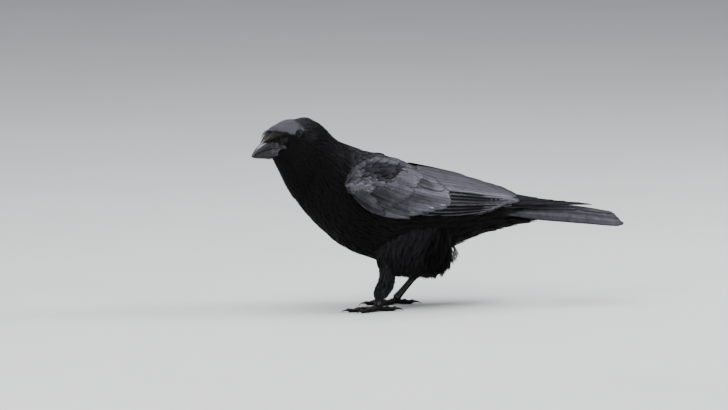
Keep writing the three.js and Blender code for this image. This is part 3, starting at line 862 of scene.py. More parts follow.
@dataclass
class Coat:
    """One piece of plumage, filled group by group and then joined in one mesh.

    Attributes:
        name: The piece's name.
        rng: Draws all that differs among its feathers.
        unroll: The rows that its bake unrolls.
        groups: What each group of feathers adds to the mesh.
        count: How many points there are so far.
    """

    name: str
    rng: Rng
    unroll: Pair
    groups: list[tuple[Array, ...]] = field(default_factory=list)
    count: int = 0

    def add(
        self, lines: Lines, half: Array, pile: Pile, templates: Sequence[Template], share: Array,
        gloss: Array | float = 0.0, rim: float = 0.0, vary: float = 0.18, painted_overlap_shade: float = 0.0,
    ) -> None:
        """Lays a group of feathers.

        Args:
            lines: The lines they follow.
            half: Their half widths.
            pile: How they lie.
            templates: The feathers to choose among.
            share: Each root's place on the unrolled surface, from 0 to 1.
            gloss: How glossy each is.
            rim: How much glossier a feather's outer part is.
            vary: How much the tones differ.
            painted_overlap_shade: How much duller the inner part of each vane is, a painted shade towards
                the feather that overlaps it; below zero where across points out.
        """
        if not len(half):
            return
        which = self.rng.integers(0, len(templates), len(half))
        shade = 0.5 + vary * self.rng.normal(size=len(half))
        shine = np.broadcast_to(gloss, half.shape) * (1 + 0.16 * self.rng.normal(size=len(half)))
        for k, template in enumerate(templates):
            pick = which == k
            if not pick.any():
                continue
            part = Pile(*[value[pick] if isinstance(value, np.ndarray) else value
                          for value in (pile.sink, pile.rise, pile.arch, pile.tilt, pile.thick, pile.press)])
            points = lay(lines.kept(pick), half[pick], part, template)
            n, m = points.shape[:2]
            faces = template.faces[None] + (self.count + m * np.arange(n))[:, None, None]
            own = np.stack([0.5 + 0.5 * np.clip(template.across, -1, 1), np.clip(template.along, 0, 1)], -1)
            bake = share[pick][:, None] * (1 - BAKE_PATCH) + own[None] * BAKE_PATCH
            lit = shine[pick][:, None] + rim * ease(0.45, 0.95, template.along)[None]
            # Painted shade on the part of each vane next to the feather that overlaps it.
            lit = lit - abs(painted_overlap_shade) * ease(-0.4, -0.2, math.copysign(1, painted_overlap_shade) * template.across)[None]
            self.groups.append((
                points.reshape(-1, 3), faces.reshape(-1, 3), np.tile(template.flat, n), bake.reshape(-1, 2),
                np.tile(own, (n, 1)), np.repeat(shade[pick], m), np.clip(lit, 0, GLOSS_TOP).ravel(),
            ))
            self.count += n * m

    def build(self, finish: Material) -> Object:
        """Joins the feathers and puts the piece on the frame."""
        points, faces, flat, bake, own, tone, gloss = (np.concatenate(part) for part in zip(*self.groups))
        made = mesh_object(self.name, points, faces, finish, flat, {"OFBake": bake, "Vane": own},
                           {"tone": tone, "gloss": gloss})
        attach(made, "root")
        LOG.info("%s: %d triangles", self.name, len(made.data.polygons))
        return made


# ---- Finishes ----

Colour = tuple[float, float, float]


def math_node(operation: str, back: bool = False) -> Callable[..., "Value"]:
    """A method that adds one Math node, with back the other way round."""

    def method(self: "Value", other: "Value | float" = 0.0) -> "Value":
        """The node's output."""
        inputs = {0: other, 1: self} if back else {0: self, 1: other}
        return self.shop.node("ShaderNodeMath", {"operation": operation}, inputs)

    return method


class Value:
    """A socket that gives a number. Sums on it add Math nodes."""

    __add__ = __radd__ = math_node("ADD")
    __sub__, __rsub__ = math_node("SUBTRACT"), math_node("SUBTRACT", back=True)
    __mul__ = __rmul__ = math_node("MULTIPLY")
    __truediv__ = math_node("DIVIDE")
    __abs__, sine = math_node("ABSOLUTE"), math_node("SINE")

    def __init__(self, shop: "Nodes", socket: bpy.types.NodeSocket) -> None:
        """Wraps a socket of a shop's tree."""
        self.shop = shop
        self.socket = socket

    def span(self, low: float, high: float, start: float = 0.0, end: float = 1.0) -> "Value":
        """A smooth step from start at low to end at high."""
        return self.shop.node(
            "ShaderNodeMapRange", {"interpolation_type": "SMOOTHSTEP"},
            {"Value": self, "From Min": low, "From Max": high, "To Min": start, "To Max": end},
        )


class Nodes:
    """A tree of nodes under construction."""

    def __init__(self, tree: bpy.types.NodeTree) -> None:
        """Takes an empty tree."""
        self.tree = tree

    def node(
        self, kind: str, settings: dict[str, object] | None = None,
        inputs: dict[str | int, object] | None = None, output: int | str = 0,
    ) -> Value:
        """Adds a node.

        Args:
            kind: The node's type.
            settings: Its settings. A ramp's "stops" are pairs of a place and a colour.
            inputs: Values or links of its sockets, by name or number.
            output: The output to give back.
        """
        made = self.tree.nodes.new(kind)
        for key, value in (settings or {}).items():
            if key == "stops":
                ramp = made.color_ramp.elements
                while len(ramp) < len(value):
                    ramp.new(0.5)
                for stop, (place, colour) in zip(ramp, value):
                    stop.position, stop.color = place, (*colour, 1)
            else:
                setattr(made, key, value)
        for key, value in (inputs or {}).items():
            if isinstance(value, Value):
                self.tree.links.new(value.socket, made.inputs[key])
            else:
                made.inputs[key].default_value = value
        return Value(self, made.outputs[output] if made.outputs else None)


class Shop(Nodes):
    """Builds one material's nodes."""

    def __init__(self, name: str) -> None:
        """Starts an empty material."""
        self.material = bpy.data.materials.new(name)
        self.material.use_nodes = True
        self.material.node_tree.nodes.clear()
        super().__init__(self.material.node_tree)

    def blend(self, share: Value | float, a: Value | Colour, b: Value | Colour) -> Value:
        """A colour between two others."""
        ends = {6: a if isinstance(a, Value) else (*a, 1), 7: b if isinstance(b, Value) else (*b, 1)}
        return self.node("ShaderNodeMix", {"data_type": "RGBA"}, {0: share, **ends}, 2)

    def noise(
        self, scale: float, detail: float = 2.0, stretch: tuple[float, float, float] = (1, 1, 1),
    ) -> Value:
        """Soft noise over the piece's own place, about 0.5."""
        place = self.node("ShaderNodeTexCoord", output="Object")
        place = self.node("ShaderNodeMapping", {}, {"Vector": place, "Scale": stretch})
        return self.node("ShaderNodeTexNoise", {}, {"Vector": place, "Scale": scale, "Detail": detail})

    def number(self, name: str) -> Value:
        """A number that the mesh keeps at its points."""
        return self.node("ShaderNodeAttribute", {"attribute_name": name}, output="Fac")

    def done(self, bump: Value | None = None, depth: float = 0.0002, strength: float = 0.5,
             **sockets: object) -> Material:
        """Ends the tree in a Principled shader.

        Args:
            bump: Heights for a Bump node.
            depth: The bump's depth in metres.
            strength: The bump's strength.
            **sockets: The shader's sockets, with _ for a space.
        """
        inputs = {key.replace("_", " "): value for key, value in sockets.items()}
        if bump is not None:
            inputs["Normal"] = self.node(
                "ShaderNodeBump", {}, {"Height": bump, "Distance": depth, "Strength": strength})
        shader = self.node("ShaderNodeBsdfPrincipled", {}, inputs)
        self.node("ShaderNodeOutputMaterial", {}, {"Surface": shader})
        return self.material


@dataclass(frozen=True)
class PlumageFinish:
    """Black feathers: velvet where they are soft, with a purple and steel gloss where they are firm.

    Attributes:
        name: The material's name.
        deep: The colour of a matt barb.
        bloom: The colour that a glossy barb gives back.
        worn: The colour of a worn rim.
        metal: How much of a glossy barb's light is given back as a metal gives it.
        matt: The roughness without gloss.
        shine: The roughness with full gloss.
        barbs: How many barbs a vane shows.
    """

    name: str
    deep: Colour = (0.0034, 0.0032, 0.0034)
    bloom: Colour = (0.118, 0.115, 0.137)
    worn: Colour = (0.022, 0.018, 0.015)
    metal: float = 0.85
    matt: float = 0.7
    shine: float = 0.4
    barbs: float = 34.0

    def made(self) -> Material:
        """The material."""
        shop = Shop(self.name)
        place = shop.node("ShaderNodeUVMap", {"uv_map": "Vane"})
        split = shop.node("ShaderNodeSeparateXYZ", {}, {0: place}, "X")
        along = Value(shop, split.socket.node.outputs["Y"])
        off = abs(split - 0.5) * 2
        tone, gloss = shop.number("tone"), shop.number("gloss")
        mottle, cloud = shop.noise(420, 3), shop.noise(120, 2)
        barb = ((along - off * 0.3 + mottle * 0.012) * (self.barbs * 2 * math.pi)).sine() * 0.5 + 0.5
        shaft = off.span(0.0, 0.07, 1, 0)
        edge = along.span(0.86, 1.0) * mottle.span(0.45, 0.7)
        lit = (gloss * (1 + (mottle - 0.5) * 0.7 + (cloud - 0.5) * 0.8 + (tone - 0.5) * 0.4)).span(0, 1.15)
        colour = shop.blend(lit, self.deep, self.bloom)
        colour = shop.blend(edge * gloss * 0.3, colour, self.worn)
        colour = shop.blend(shaft * 0.3, colour, (0.004, 0.004, 0.005))
        rough = gloss.span(0, 1, self.matt, self.shine) + barb * 0.06 + (mottle - 0.5) * 0.12
        return shop.done(
            bump=barb * 0.6 + shaft * 0.5 + mottle * 0.4, depth=0.00012, strength=0.5,
            Base_Color=colour, Roughness=rough, Metallic=lit * self.metal,
            Specular_IOR_Level=0.07, IOR=1.45,
        )


@dataclass(frozen=True)
class HornFinish:
    """Slate black horn with fine lines along it, scuffs and a rubbed, paler edge, with painted highlights
    and painted shade on the bill.
    """

    name: str
    deep: Colour = (0.0055, 0.0055, 0.0068)
    # The palest horn, where it is rubbed and where the bill's painted highlight is brightest.
    pale: Colour = (0.200, 0.192, 0.225)
    rough: float = 0.3

    def made(self) -> Material:
        """The material. Its "rub" is how pale the horn is, from 0 to 1: rubbed wear, and on the bill painted
        highlights and painted shade.
        """
        shop = Shop(self.name)
        cloud, grain = shop.noise(170, 4), shop.noise(900, 3, (0.25, 1, 1))
        flake = shop.noise(420, 5, (0.5, 1, 1.6))
        rub = shop.number("rub")
        share = rub * (0.5 + cloud) + (grain - 0.5) * 0.16 + (flake - 0.5) * 0.34 + (cloud - 0.5) * 0.2
        colour = shop.blend(share.span(0, 1), self.deep, self.pale)
        return shop.done(
            bump=grain * 0.5 + cloud * 0.6 + flake * 0.6, depth=0.00022, strength=0.6, Base_Color=colour,
            Roughness=self.rough + (cloud - 0.5) * 0.3 + rub * 0.1, Coat_Weight=0.1, Coat_Roughness=0.25,
            IOR=1.5, Specular_IOR_Level=0.24,
        )


@dataclass(frozen=True)
class ScaleFinish:
    """Black scaly skin, dusty in its furrows."""

    name: str
    deep: Colour = (0.010, 0.0095, 0.010)
    dust: Colour = (0.050, 0.045, 0.040)
    rough: float = 0.42

    def made(self) -> Material:
        """The material."""
        shop = Shop(self.name)
        cloud, grain = shop.noise(380, 3), shop.noise(1600, 2)
        rub = shop.number("rub")
        colour = shop.blend(((cloud - 0.4) * 0.9 + rub * 0.7).span(0, 1), self.deep, self.dust)
        return shop.done(
            bump=grain * 0.6 + cloud * 0.6, depth=0.00018, strength=0.6, Base_Color=colour,
            Roughness=self.rough + (cloud - 0.5) * 0.3 + rub * 0.15, IOR=1.5, Coat_Weight=0.12,
            Coat_Roughness=0.4,
        )


@dataclass(frozen=True)
class SkinFinish:
    """The bird's own dark grey skin, finely pebbled."""

    name: str
    deep: Colour = (0.003, 0.0028, 0.0031)
    pale: Colour = (0.011, 0.010, 0.0108)
    shine: float = 0.14

    def made(self) -> Material:
        """The material."""
        shop = Shop(self.name)
        cloud = shop.noise(260, 3)
        cell = shop.node("ShaderNodeTexVoronoi", {}, {
            "Vector": shop.node("ShaderNodeTexCoord", output="Object"), "Scale": 1500})
        colour = shop.blend(((cloud - 0.4) * 1.2 + cell * 0.3).span(0, 1), self.deep, self.pale)
        return shop.done(
            bump=cell * -1.0 + cloud * 0.5, depth=0.0002, strength=0.6, Base_Color=colour,
            Roughness=0.55 + (cloud - 0.5) * 0.2, IOR=1.45, Specular_IOR_Level=self.shine)


@dataclass(frozen=True)
class EyeFinish:
    """A dark brown iris round a black pupil, under a clear wet cornea."""

    name: str

    def made(self) -> Material:
        """The material."""
        shop = Shop(self.name)
        ring, cloud = shop.number("ring"), shop.noise(1500, 3)
        colour = shop.node("ShaderNodeValToRGB", {"stops": [
            (0.0, (0.0012, 0.001, 0.001)), (0.33, (0.0014, 0.001, 0.001)), (0.38, (0.006, 0.0035, 0.0025)),
            (0.62, (0.0075, 0.0042, 0.003)), (0.74, (0.004, 0.003, 0.0025)), (0.82, (0.002, 0.002, 0.002)),
        ]}, {0: ring + (cloud - 0.5) * 0.05})
        return shop.done(
            bump=cloud * 0.2, depth=0.00002, strength=0.15, Base_Color=colour, Roughness=0.14 + cloud * 0.05,
            Coat_Weight=0.6, Coat_Roughness=0.03, Coat_IOR=1.3, Specular_IOR_Level=0.06, IOR=1.38)


@dataclass(frozen=True)
class FloorFinish:
    """A plain pale floor with a faint tooth."""

    name: str
    pale: Colour = (0.80, 0.80, 0.79)

    def made(self) -> Material:
        """The material."""
        shop = Shop(self.name)
        cloud = shop.noise(3, 3)
        colour = shop.blend(cloud.span(0.3, 0.7), self.pale, tuple(0.96 * c for c in self.pale))
        return shop.done(bump=shop.noise(600), depth=0.0001, strength=0.1, Base_Color=colour,
                         Roughness=0.75 + cloud * 0.1)


class Growth(Nodes):
    """A Geometry Nodes tree that stands one small solid on each point of a bed."""

    def __init__(self, name: str, **sizes: float) -> None:
        """Starts a tree that takes a bed, a finish and named sizes."""
        super().__init__(bpy.data.node_groups.new(name, "GeometryNodeTree"))
        self.sizes = sizes
        kinds = {"Bed": "NodeSocketGeometry", "Finish": "NodeSocketMaterial"}
        for key in (*kinds, *sizes):
            kind = kinds.get(key, "NodeSocketFloat")
            self.tree.interface.new_socket(key, in_out="INPUT", socket_type=kind)
        self.tree.interface.new_socket("Pieces", in_out="OUTPUT", socket_type="NodeSocketGeometry")
        self.entry = self.tree.nodes.new("NodeGroupInput")

    def given(self, name: str) -> Value:
        """One of the tree's inputs."""
        return Value(self, self.entry.outputs[name])

    def kept(self, name: str) -> Value:
        """A vector that the bed keeps at its points."""
        return self.node("GeometryNodeInputNamedAttribute", {"data_type": "FLOAT_VECTOR"}, {"Name": name},
                         "Attribute")

    def mark(self, solid: Value, name: str, value: Value, kind: str) -> Value:
        """Keeps a value at the points of a solid."""
        return self.node("GeometryNodeStoreNamedAttribute", {"data_type": kind, "domain": "POINT"},
                         {"Geometry": solid, "Name": name, "Value": value})

    def plant(self, points: Value, solid: Value, size: Value) -> None:
        """Ends the tree: solids with their z along "out" and their x along "lie", made real and dressed.

        Args:
            points: Where they stand.
            solid: The shape of one.
            size: Its size along its own axes.
        """
        turn = self.node("FunctionNodeAxesToRotation", {"primary_axis": "Z", "secondary_axis": "X"},
                         {0: self.kept("out"), 1: self.kept("lie")})
        placed = self.node("GeometryNodeInstanceOnPoints", {}, {
            "Points": points, "Instance": solid, "Rotation": turn, "Scale": size})
        whole = self.node("GeometryNodeRealizeInstances", {}, {"Geometry": placed})
        self.node("NodeGroupOutput", {}, {"Pieces": self.node(
            "GeometryNodeSetMaterial", {}, {"Geometry": whole, "Material": self.given("Finish")})})

    def grow(self, name: str, bed: Object, finish: Material) -> Object:
        """Runs the tree.

        Args:
            name: The name of the piece that comes of it.
            bed: The mesh it grows on, which is used up.
            finish: The material.

        Returns:
            The piece, as a plain mesh.
        """
        modifier = bed.modifiers.new("growth", "NODES")
        modifier.node_group = self.tree
        for item in self.tree.interface.items_tree:
            if item.in_out == "INPUT" and item.name != "Bed":
                modifier[item.identifier] = self.sizes.get(item.name, finish)
        graph = bpy.context.evaluated_depsgraph_get()
        mesh = bpy.data.meshes.new_from_object(bed.evaluated_get(graph), depsgraph=graph)
        bed.modifiers.remove(modifier)
        bpy.data.objects.remove(bed)
        mesh.name = name
        made = placed(name, mesh)
        LOG.info("%s: %d faces", name, len(mesh.polygons))
        return made


# ---- Solid pieces ----


def tube(rings: Array) -> Mesh:
    """A closed tube through rings, with a fan at each end.

    Args:
        rings: Rings of equally many points.

    Returns:
        Its points and its triangles, facing out.
    """
    n, m = rings.shape[:2]
    points = np.concatenate([rings.reshape(-1, 3), rings[:1].mean(1), rings[-1:].mean(1)])
    at = np.arange(n * m).reshape(n, m)
    after = np.roll(at, -1, 1)
    faces = np.concatenate([
        tri(at[:-1], after[:-1], after[1:]), tri(at[:-1], after[1:], at[1:]),
        tri(np.full(m, n * m), after[0], at[0]), tri(np.full(m, n * m + 1), at[-1], after[-1]),
    ])
    a, b, c = (points[faces[:, k]] for k in range(3))
    volume = np.sum(a * np.cross(b, c))
    return points, faces if volume > 0 else faces[:, ::-1]


def joined(parts: Sequence[Mesh]) -> Mesh:
    """Several meshes as one."""
    start, points, faces = 0, [], []
    for p, f in parts:
        points.append(p)
        faces.append(f + start)
        start += len(p)
    return np.concatenate(points), np.concatenate(faces)


def pipe(path: Array, across: Array, radii: Array, sides: int, floor: float = -1e9) -> Array:
    """Rings of a tube along a path.

    Args:
        path: The middle line.
        across: A level way across it, at each point.
        radii: Its radius at each point, or its two radii.
        sides: Points round it.
        floor: The height its underside is pressed flat on.
    """
    way = unit(np.gradient(path, axis=0))
    across = unit(across - dot(across, way) * way)
    up = np.cross(way, across)
    radii = np.asarray(radii, float)
    if radii.ndim == 1:
        radii = np.stack([radii, radii], -1)
    a = circle(sides)
    rings = (path[:, None] + across[:, None] * (radii[:, :1] * np.cos(a))[..., None]
             + up[:, None] * (radii[:, 1:] * np.sin(a))[..., None])
    rings[..., 2] = np.maximum(rings[..., 2], floor)
    return rings


@dataclass(frozen=True)
class Toe:
    """One toe, in millimetres. Spread turns it from straight ahead, towards the foot's outside."""

    spread: float
    length: float
    claw: float
    root: float
    tip: float
    scutes: int

    def way(self, side: int) -> Array:
        """The level way it points."""
        angle = math.radians(self.spread) * -side
        return np.array([-math.cos(angle), -math.sin(angle), 0.0])

    def line(self, foot: Array, side: int, count: int) -> tuple[Array, Array]:
        """The toe's middle line and radii, from the foot to the claw's root."""
        s = np.linspace(0, 1, count)
        radius = mix(self.root, self.tip, s) + 0.35 * np.cos(4 * np.pi * s)
        path = foot * (1, 1, 0) + self.way(side) * (1.5 + s * self.length)[:, None]
        path[:, 2] = radius - 0.45 + 0.96 * (1 - s) ** 2
        return path, radius

    def claw_line(self, foot: Array, side: int, count: int) -> tuple[Array, Array]:
        """The claw's middle line and radii."""
        s = np.linspace(0, 1, count)
        radius = mix(self.tip * 0.78, 0.3, s**0.8)
        height = 2.4 + 1.3 * np.sin(np.pi * s * 0.75) - 2.9 * s**2.2
        path = foot * (1, 1, 0) + self.way(side) * (self.length + s * self.claw)[:, None]
        path[:, 2] = np.maximum(height, radius + 0.05)
        return path, radius


TOES = (
    Toe(180, 19, 13, 3.4, 2.7, 7),
    Toe(-27, 22, 9.5, 3.0, 2.3, 9),
    Toe(1, 35, 11, 3.5, 2.4, 13),
    Toe(28, 25, 9.5, 3.0, 2.3, 10),
)


@dataclass(frozen=True)
class Leg:
    """One leg: the tables of its feathers and the ends of its shank."""

    name: str
    side: int
    thigh: Array
    sock: Array
    ankle: tuple[float, float, float]
    foot: tuple[float, float, float]

    def shank(self, count: int) -> tuple[Array, Array]:
        """The shank's middle line and radii, downwards."""
        s = np.linspace(0, 1, count)
        ends = np.array([self.ankle, self.foot], float) * (1, self.side, 1)
        return mix(ends[0], ends[1], s[:, None]), 3.2 + 1.6 * (1 - s) ** 4 + 1.5 * s**6

    def ground(self) -> Array:
        """The point on the floor under the shank."""
        return np.array([self.foot[0], self.side * self.foot[1], 0.0])


LEGS = (
    Leg("left", -1, LEFT_THIGH, LEFT_SOCK, (-60, 28, 60), (-77, 28, 7)),
    Leg("right", 1, RIGHT_THIGH, RIGHT_SOCK, (-2, 28, 51), (-41, 28, 7)),
)


@dataclass
class Skin:
    """The bird's whole skin under its coat, in one piece."""

    voxel: float = 1.25
    head_depth: float = 2.0
    neck_depth: float = 4.4
    body_depth: float = 4.6

    def body(self) -> Mesh:
        """Head, neck and trunk."""
        t, a = grid(np.linspace(0.02, 15.9, 240), np.linspace(-np.pi, np.pi, 128, endpoint=False))
        point, normal, _, _ = BODY_CHART.read(t, a)
        depth = mix(mix(self.head_depth, self.neck_depth, ease(3, 5, t)), self.body_depth, ease(6, 8.5, t))
        return tube(point - normal * depth[..., None])

    def arm(self, side: int) -> Mesh:
        """The fleshy part of a wing."""
        t, v = grid(np.linspace(0.35, 6.2, 60), np.linspace(0.04, 0.94, 28))
        point, normal, _, _ = WING_CHARTS[side].read(t, v)
        outer = point - normal * mix(3.0, 5.2, ease(1, 5, t))[..., None]
        inner = point - normal * 14.0
        return tube(np.concatenate([outer, inner[:, ::-1]], 1))

    def cap(self) -> Mesh:
        """The soft cap over the nostrils."""
        t, a = grid(np.linspace(0, 3.7, 40), circle(40))
        row = through(NOSTRIL_CAP, t)
        half, rise = row[..., 3] - 1.2, row[..., 2] - 1.2
        return tube(head_point(row[..., 0], half * np.cos(a), row[..., 1] + rise * np.sin(a)))

    def leg(self, leg: Leg) -> list[Mesh]:
        """A leg down to its toes."""
        parts = []
        for table, depth in ((leg.thigh, 4.0), (leg.sock, 2.6)):
            small = table.copy()
            small[:, 2] = np.maximum(small[:, 2] - depth, 1.5)
            small[:, 4] = np.maximum(small[:, 4] - depth, 1.5)
            t, a = grid(np.linspace(0, len(table) - 1.3, 60), circle(48))
            parts.append(tube(sliced_place(small, leg.side)(t, a)))
        path, radius = leg.shank(40)
        across = np.broadcast_to((0.0, 1.0, 0.0), path.shape)
        parts.append(tube(pipe(path, across, radius - 0.35, 24, 2.0)))
        for toe in TOES:
            path, radius = toe.line(leg.ground(), leg.side, 40)
            level = np.cross(toe.way(leg.side), (0, 0, 1))
            parts.append(tube(pipe(path, np.broadcast_to(level, path.shape), radius - 0.1, 24, 0.0)))
        return parts

    def build(self, finish: Material) -> Object:
        """Joins the parts under one smooth surface."""
        parts = [self.body(), self.cap(), self.arm(-1), self.arm(1)]
        for leg in LEGS:
            parts += self.leg(leg)
        made = mesh_object("skin", *joined(parts), finish)
        remesh = made.modifiers.new("remesh", "REMESH")
        remesh.mode, remesh.voxel_size = "VOXEL", self.voxel * 0.001
        relax = made.modifiers.new("relax", "SMOOTH")
        relax.factor, relax.iterations = 0.5, 3
        graph = bpy.context.evaluated_depsgraph_get()
        mesh = bpy.data.meshes.new_from_object(made.evaluated_get(graph))
        made.modifiers.clear()
        made.data = mesh
        mesh.name = "skin"
        mesh.polygons.foreach_set("use_smooth", np.ones(len(mesh.polygons), bool))
        if not mesh.materials:
            mesh.materials.append(finish)
        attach(made, "root")
        nodes = ["head", "neck", "trunk", "tail"]
        for leg in LEGS:
            nodes += [f"{part}_{leg.name}" for part in ("wing", "thigh", "tarsus")]
            nodes += [f"toe_{leg.name}_{k + 1}" for k in range(len(TOES))]
        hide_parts(*nodes)
        LOG.info("skin: %d faces", len(mesh.polygons))
        return made


# ---- Plumage ----


def head_measure(points: Array) -> Array:
    """Points of space in the head's own measure: u, v and w on the last axis."""
    p = turned(points, -HEAD_TURN)
    dx, dz = HEAD_X - p[..., 0], p[..., 2] - HEAD_Z
    c, s = math.cos(HEAD_PITCH), math.sin(HEAD_PITCH)
    return np.stack([dx * c - dz * s, -p[..., 1], dx * s + dz * c], -1)


def clear_of_eyes(lines: Lines, radius: float) -> tuple[Lines, Array]:
    """Cuts lines short where they would run over an eye.

    Args:
        lines: The feathers' lines.
        radius: How near the middle of an eye they may come.

    Returns:
        The lines, and whether each is still long enough to keep.
    """
    measure = head_measure(lines.places())
    inside = (measure[..., 0] ** 2 + measure[..., 2] ** 2 < radius**2) & (np.abs(measure[..., 1]) > 8)
    first = np.where(inside.any(1), inside.argmax(1), JOINTS)
    share = np.clip((first - 0.5) / (JOINTS - 1), 0.05, 1)
    return lines.cut(share), share > 0.4


@dataclass(frozen=True)
class Tract:
    """A field of feathers that lie all over a part of a chart.

    Attributes:
        rows: The first and last row number.
        length: Their length at a place.
        keep: Where they grow.
        half: Half their width, as a share of the length.
        gap: Their spacing, as a share of the length.
        gloss: How glossy they are at a place.
        drift: How far they turn from the rows' way, in radians, at a place.
        stray: How unevenly they point.
        lift: How far they stand out, as a share of the usual.
        rim: How much glossier their tips are.
        base: How far they lie over the chart, in millimetres.
        arch: How high their shafts stand, as a share of the length.
        within: The columns that a feather may not leave.
    """

    rows: Pair
    length: Field
    keep: Field = everywhere
    half: float = 0.32
    gap: float = 0.4
    gloss: Field | None = None
    drift: Field | None = None
    stray: float = 0.1
    lift: float = 1.0
    rim: float = 0.1
    base: Field | float = 0.0
    arch: float = 0.02
    within: Pair = (-99.0, 99.0)

    def grow(
        self, coat: Coat, chart: Chart, templates: Sequence[Template], clear: float = 0.0,
    ) -> None:
        """Lays the tract's feathers in a coat.

        Args:
            coat: The piece they join.
            chart: The surface.
            templates: The feathers.
            clear: How near the middle of an eye they may come, or 0 away from the head.
        """
        rng = coat.rng
        s, a = scatter(chart, self.rows, lambda t, c: self.gap * self.length(t, c), self.keep, rng)
        _, normal, along, _ = chart.read(s, a)
        angle = self.stray * rng.normal(size=len(s))
        if self.drift is not None:
            angle = angle + self.drift(s, a)
        way = unit(along)
        way = way * np.cos(angle)[:, None] + np.cross(normal, way) * np.sin(angle)[:, None]
        length = self.length(s, a) * rng.uniform(0.86, 1.14, len(s))
        lines = Lines.marched(chart, s, a, way, length, 0.25 * self.stray * rng.normal(size=len(s)))
        keep = (lines.path[..., 1].min(1) > self.within[0]) & (lines.path[..., 1].max(1) < self.within[1])
        if clear:
            lines, long = clear_of_eyes(lines, clear)
            keep &= long
        lines, s, a, length = lines.kept(keep), s[keep], a[keep], length[keep]
        size = lines.length
        spread = rng.normal(size=len(s))
        base = self.base(s, a) if callable(self.base) else self.base
        pile = Pile(
            sink=base - (0.4 + 0.07 * size),
            rise=base + (0.1 + 0.016 * size + 0.014 * size * np.abs(spread)) * self.lift,
            arch=self.arch * size * self.lift, tilt=0.008 * size * rng.normal(size=len(s)), thick=0.1,
        )
        gloss = 0.0 if self.gloss is None else self.gloss(s, a)
        coat.add(lines, self.half * length * rng.uniform(0.9, 1.1, len(s)), pile, templates,
                 chart.share(s, a, coat.unroll), gloss, self.rim)


def round_vanes(rng: Rng, rows: int = 6, ragged: float = 0.05) -> list[Template]:
    """Rounded contour feathers."""
    return [vane(Outline.ROUND, rows, (-1, -0.5, 0, 0.5, 1), rng, ragged) for _ in range(5)]


def lance_vanes(rng: Rng, rows: int = 6, ragged: float = 0.06) -> list[Template]:
    """Pointed, hackle-like feathers."""
    return [vane(Outline.LANCE, rows, (-1, -0.45, 0, 0.45, 1), rng, ragged) for _ in range(5)]


def fine_vanes(rng: Rng) -> list[Template]:
    """Hair-like feathers of the face."""
    return [vane(Outline.LANCE, 5, (-1, 0, 1), rng, 0.06) for _ in range(6)]


def from_back(a: Array) -> Array:
    """How far round the body a place lies from the back, in degrees."""
    return np.degrees(np.abs((a + np.pi) % (2 * np.pi) - np.pi))


def crown_gloss_and_painted_glint(t: Array, a: Array) -> Array:
    """The sheen of the forehead and crown, partly a painted highlight, with a painted glint at the brow: it
    ends at a line from the bill to over the eye.
    """
    u, _, w = np.moveaxis(head_measure(BODY_CHART.read(t, a)[0]), -1, 0)
    rim = np.interp(u, (-34, -12, -5, 1, 4, 9, 13, 15.5, 17.5, 20, 23, 33),
                    (8, 5.5, 5, 4.6, 1.8, 1.6, 2.6, 3.4, 6.2, 7.4, 8.4, 10))
    # The forehead's gloss is partly real and partly a painted highlight of the light falling on it.
    fade = np.interp(u, (-44, -30, -20, -10, -4, 2, 8, 14), (0.0, 0.14, 0.23, 0.3, 0.44, 0.72, 1.05, 1.3))
    soft = np.interp(u, (-20, -6, 0, 6), (9.0, 7.0, 4.0, 2.0))
    # A painted glint on the brow.
    painted_brow_glint = np.exp(-((u + 2.9) ** 2 + (w - 6.4) ** 2) / 2.6)  # the brow
    ear = np.exp(-(((u + 13) / 9) ** 2) - (((w + 3) / 6) ** 2))
    return ease(-soft, soft, w - rim) * fade + 0.9 * painted_brow_glint + 0.12 * ear + 0.05


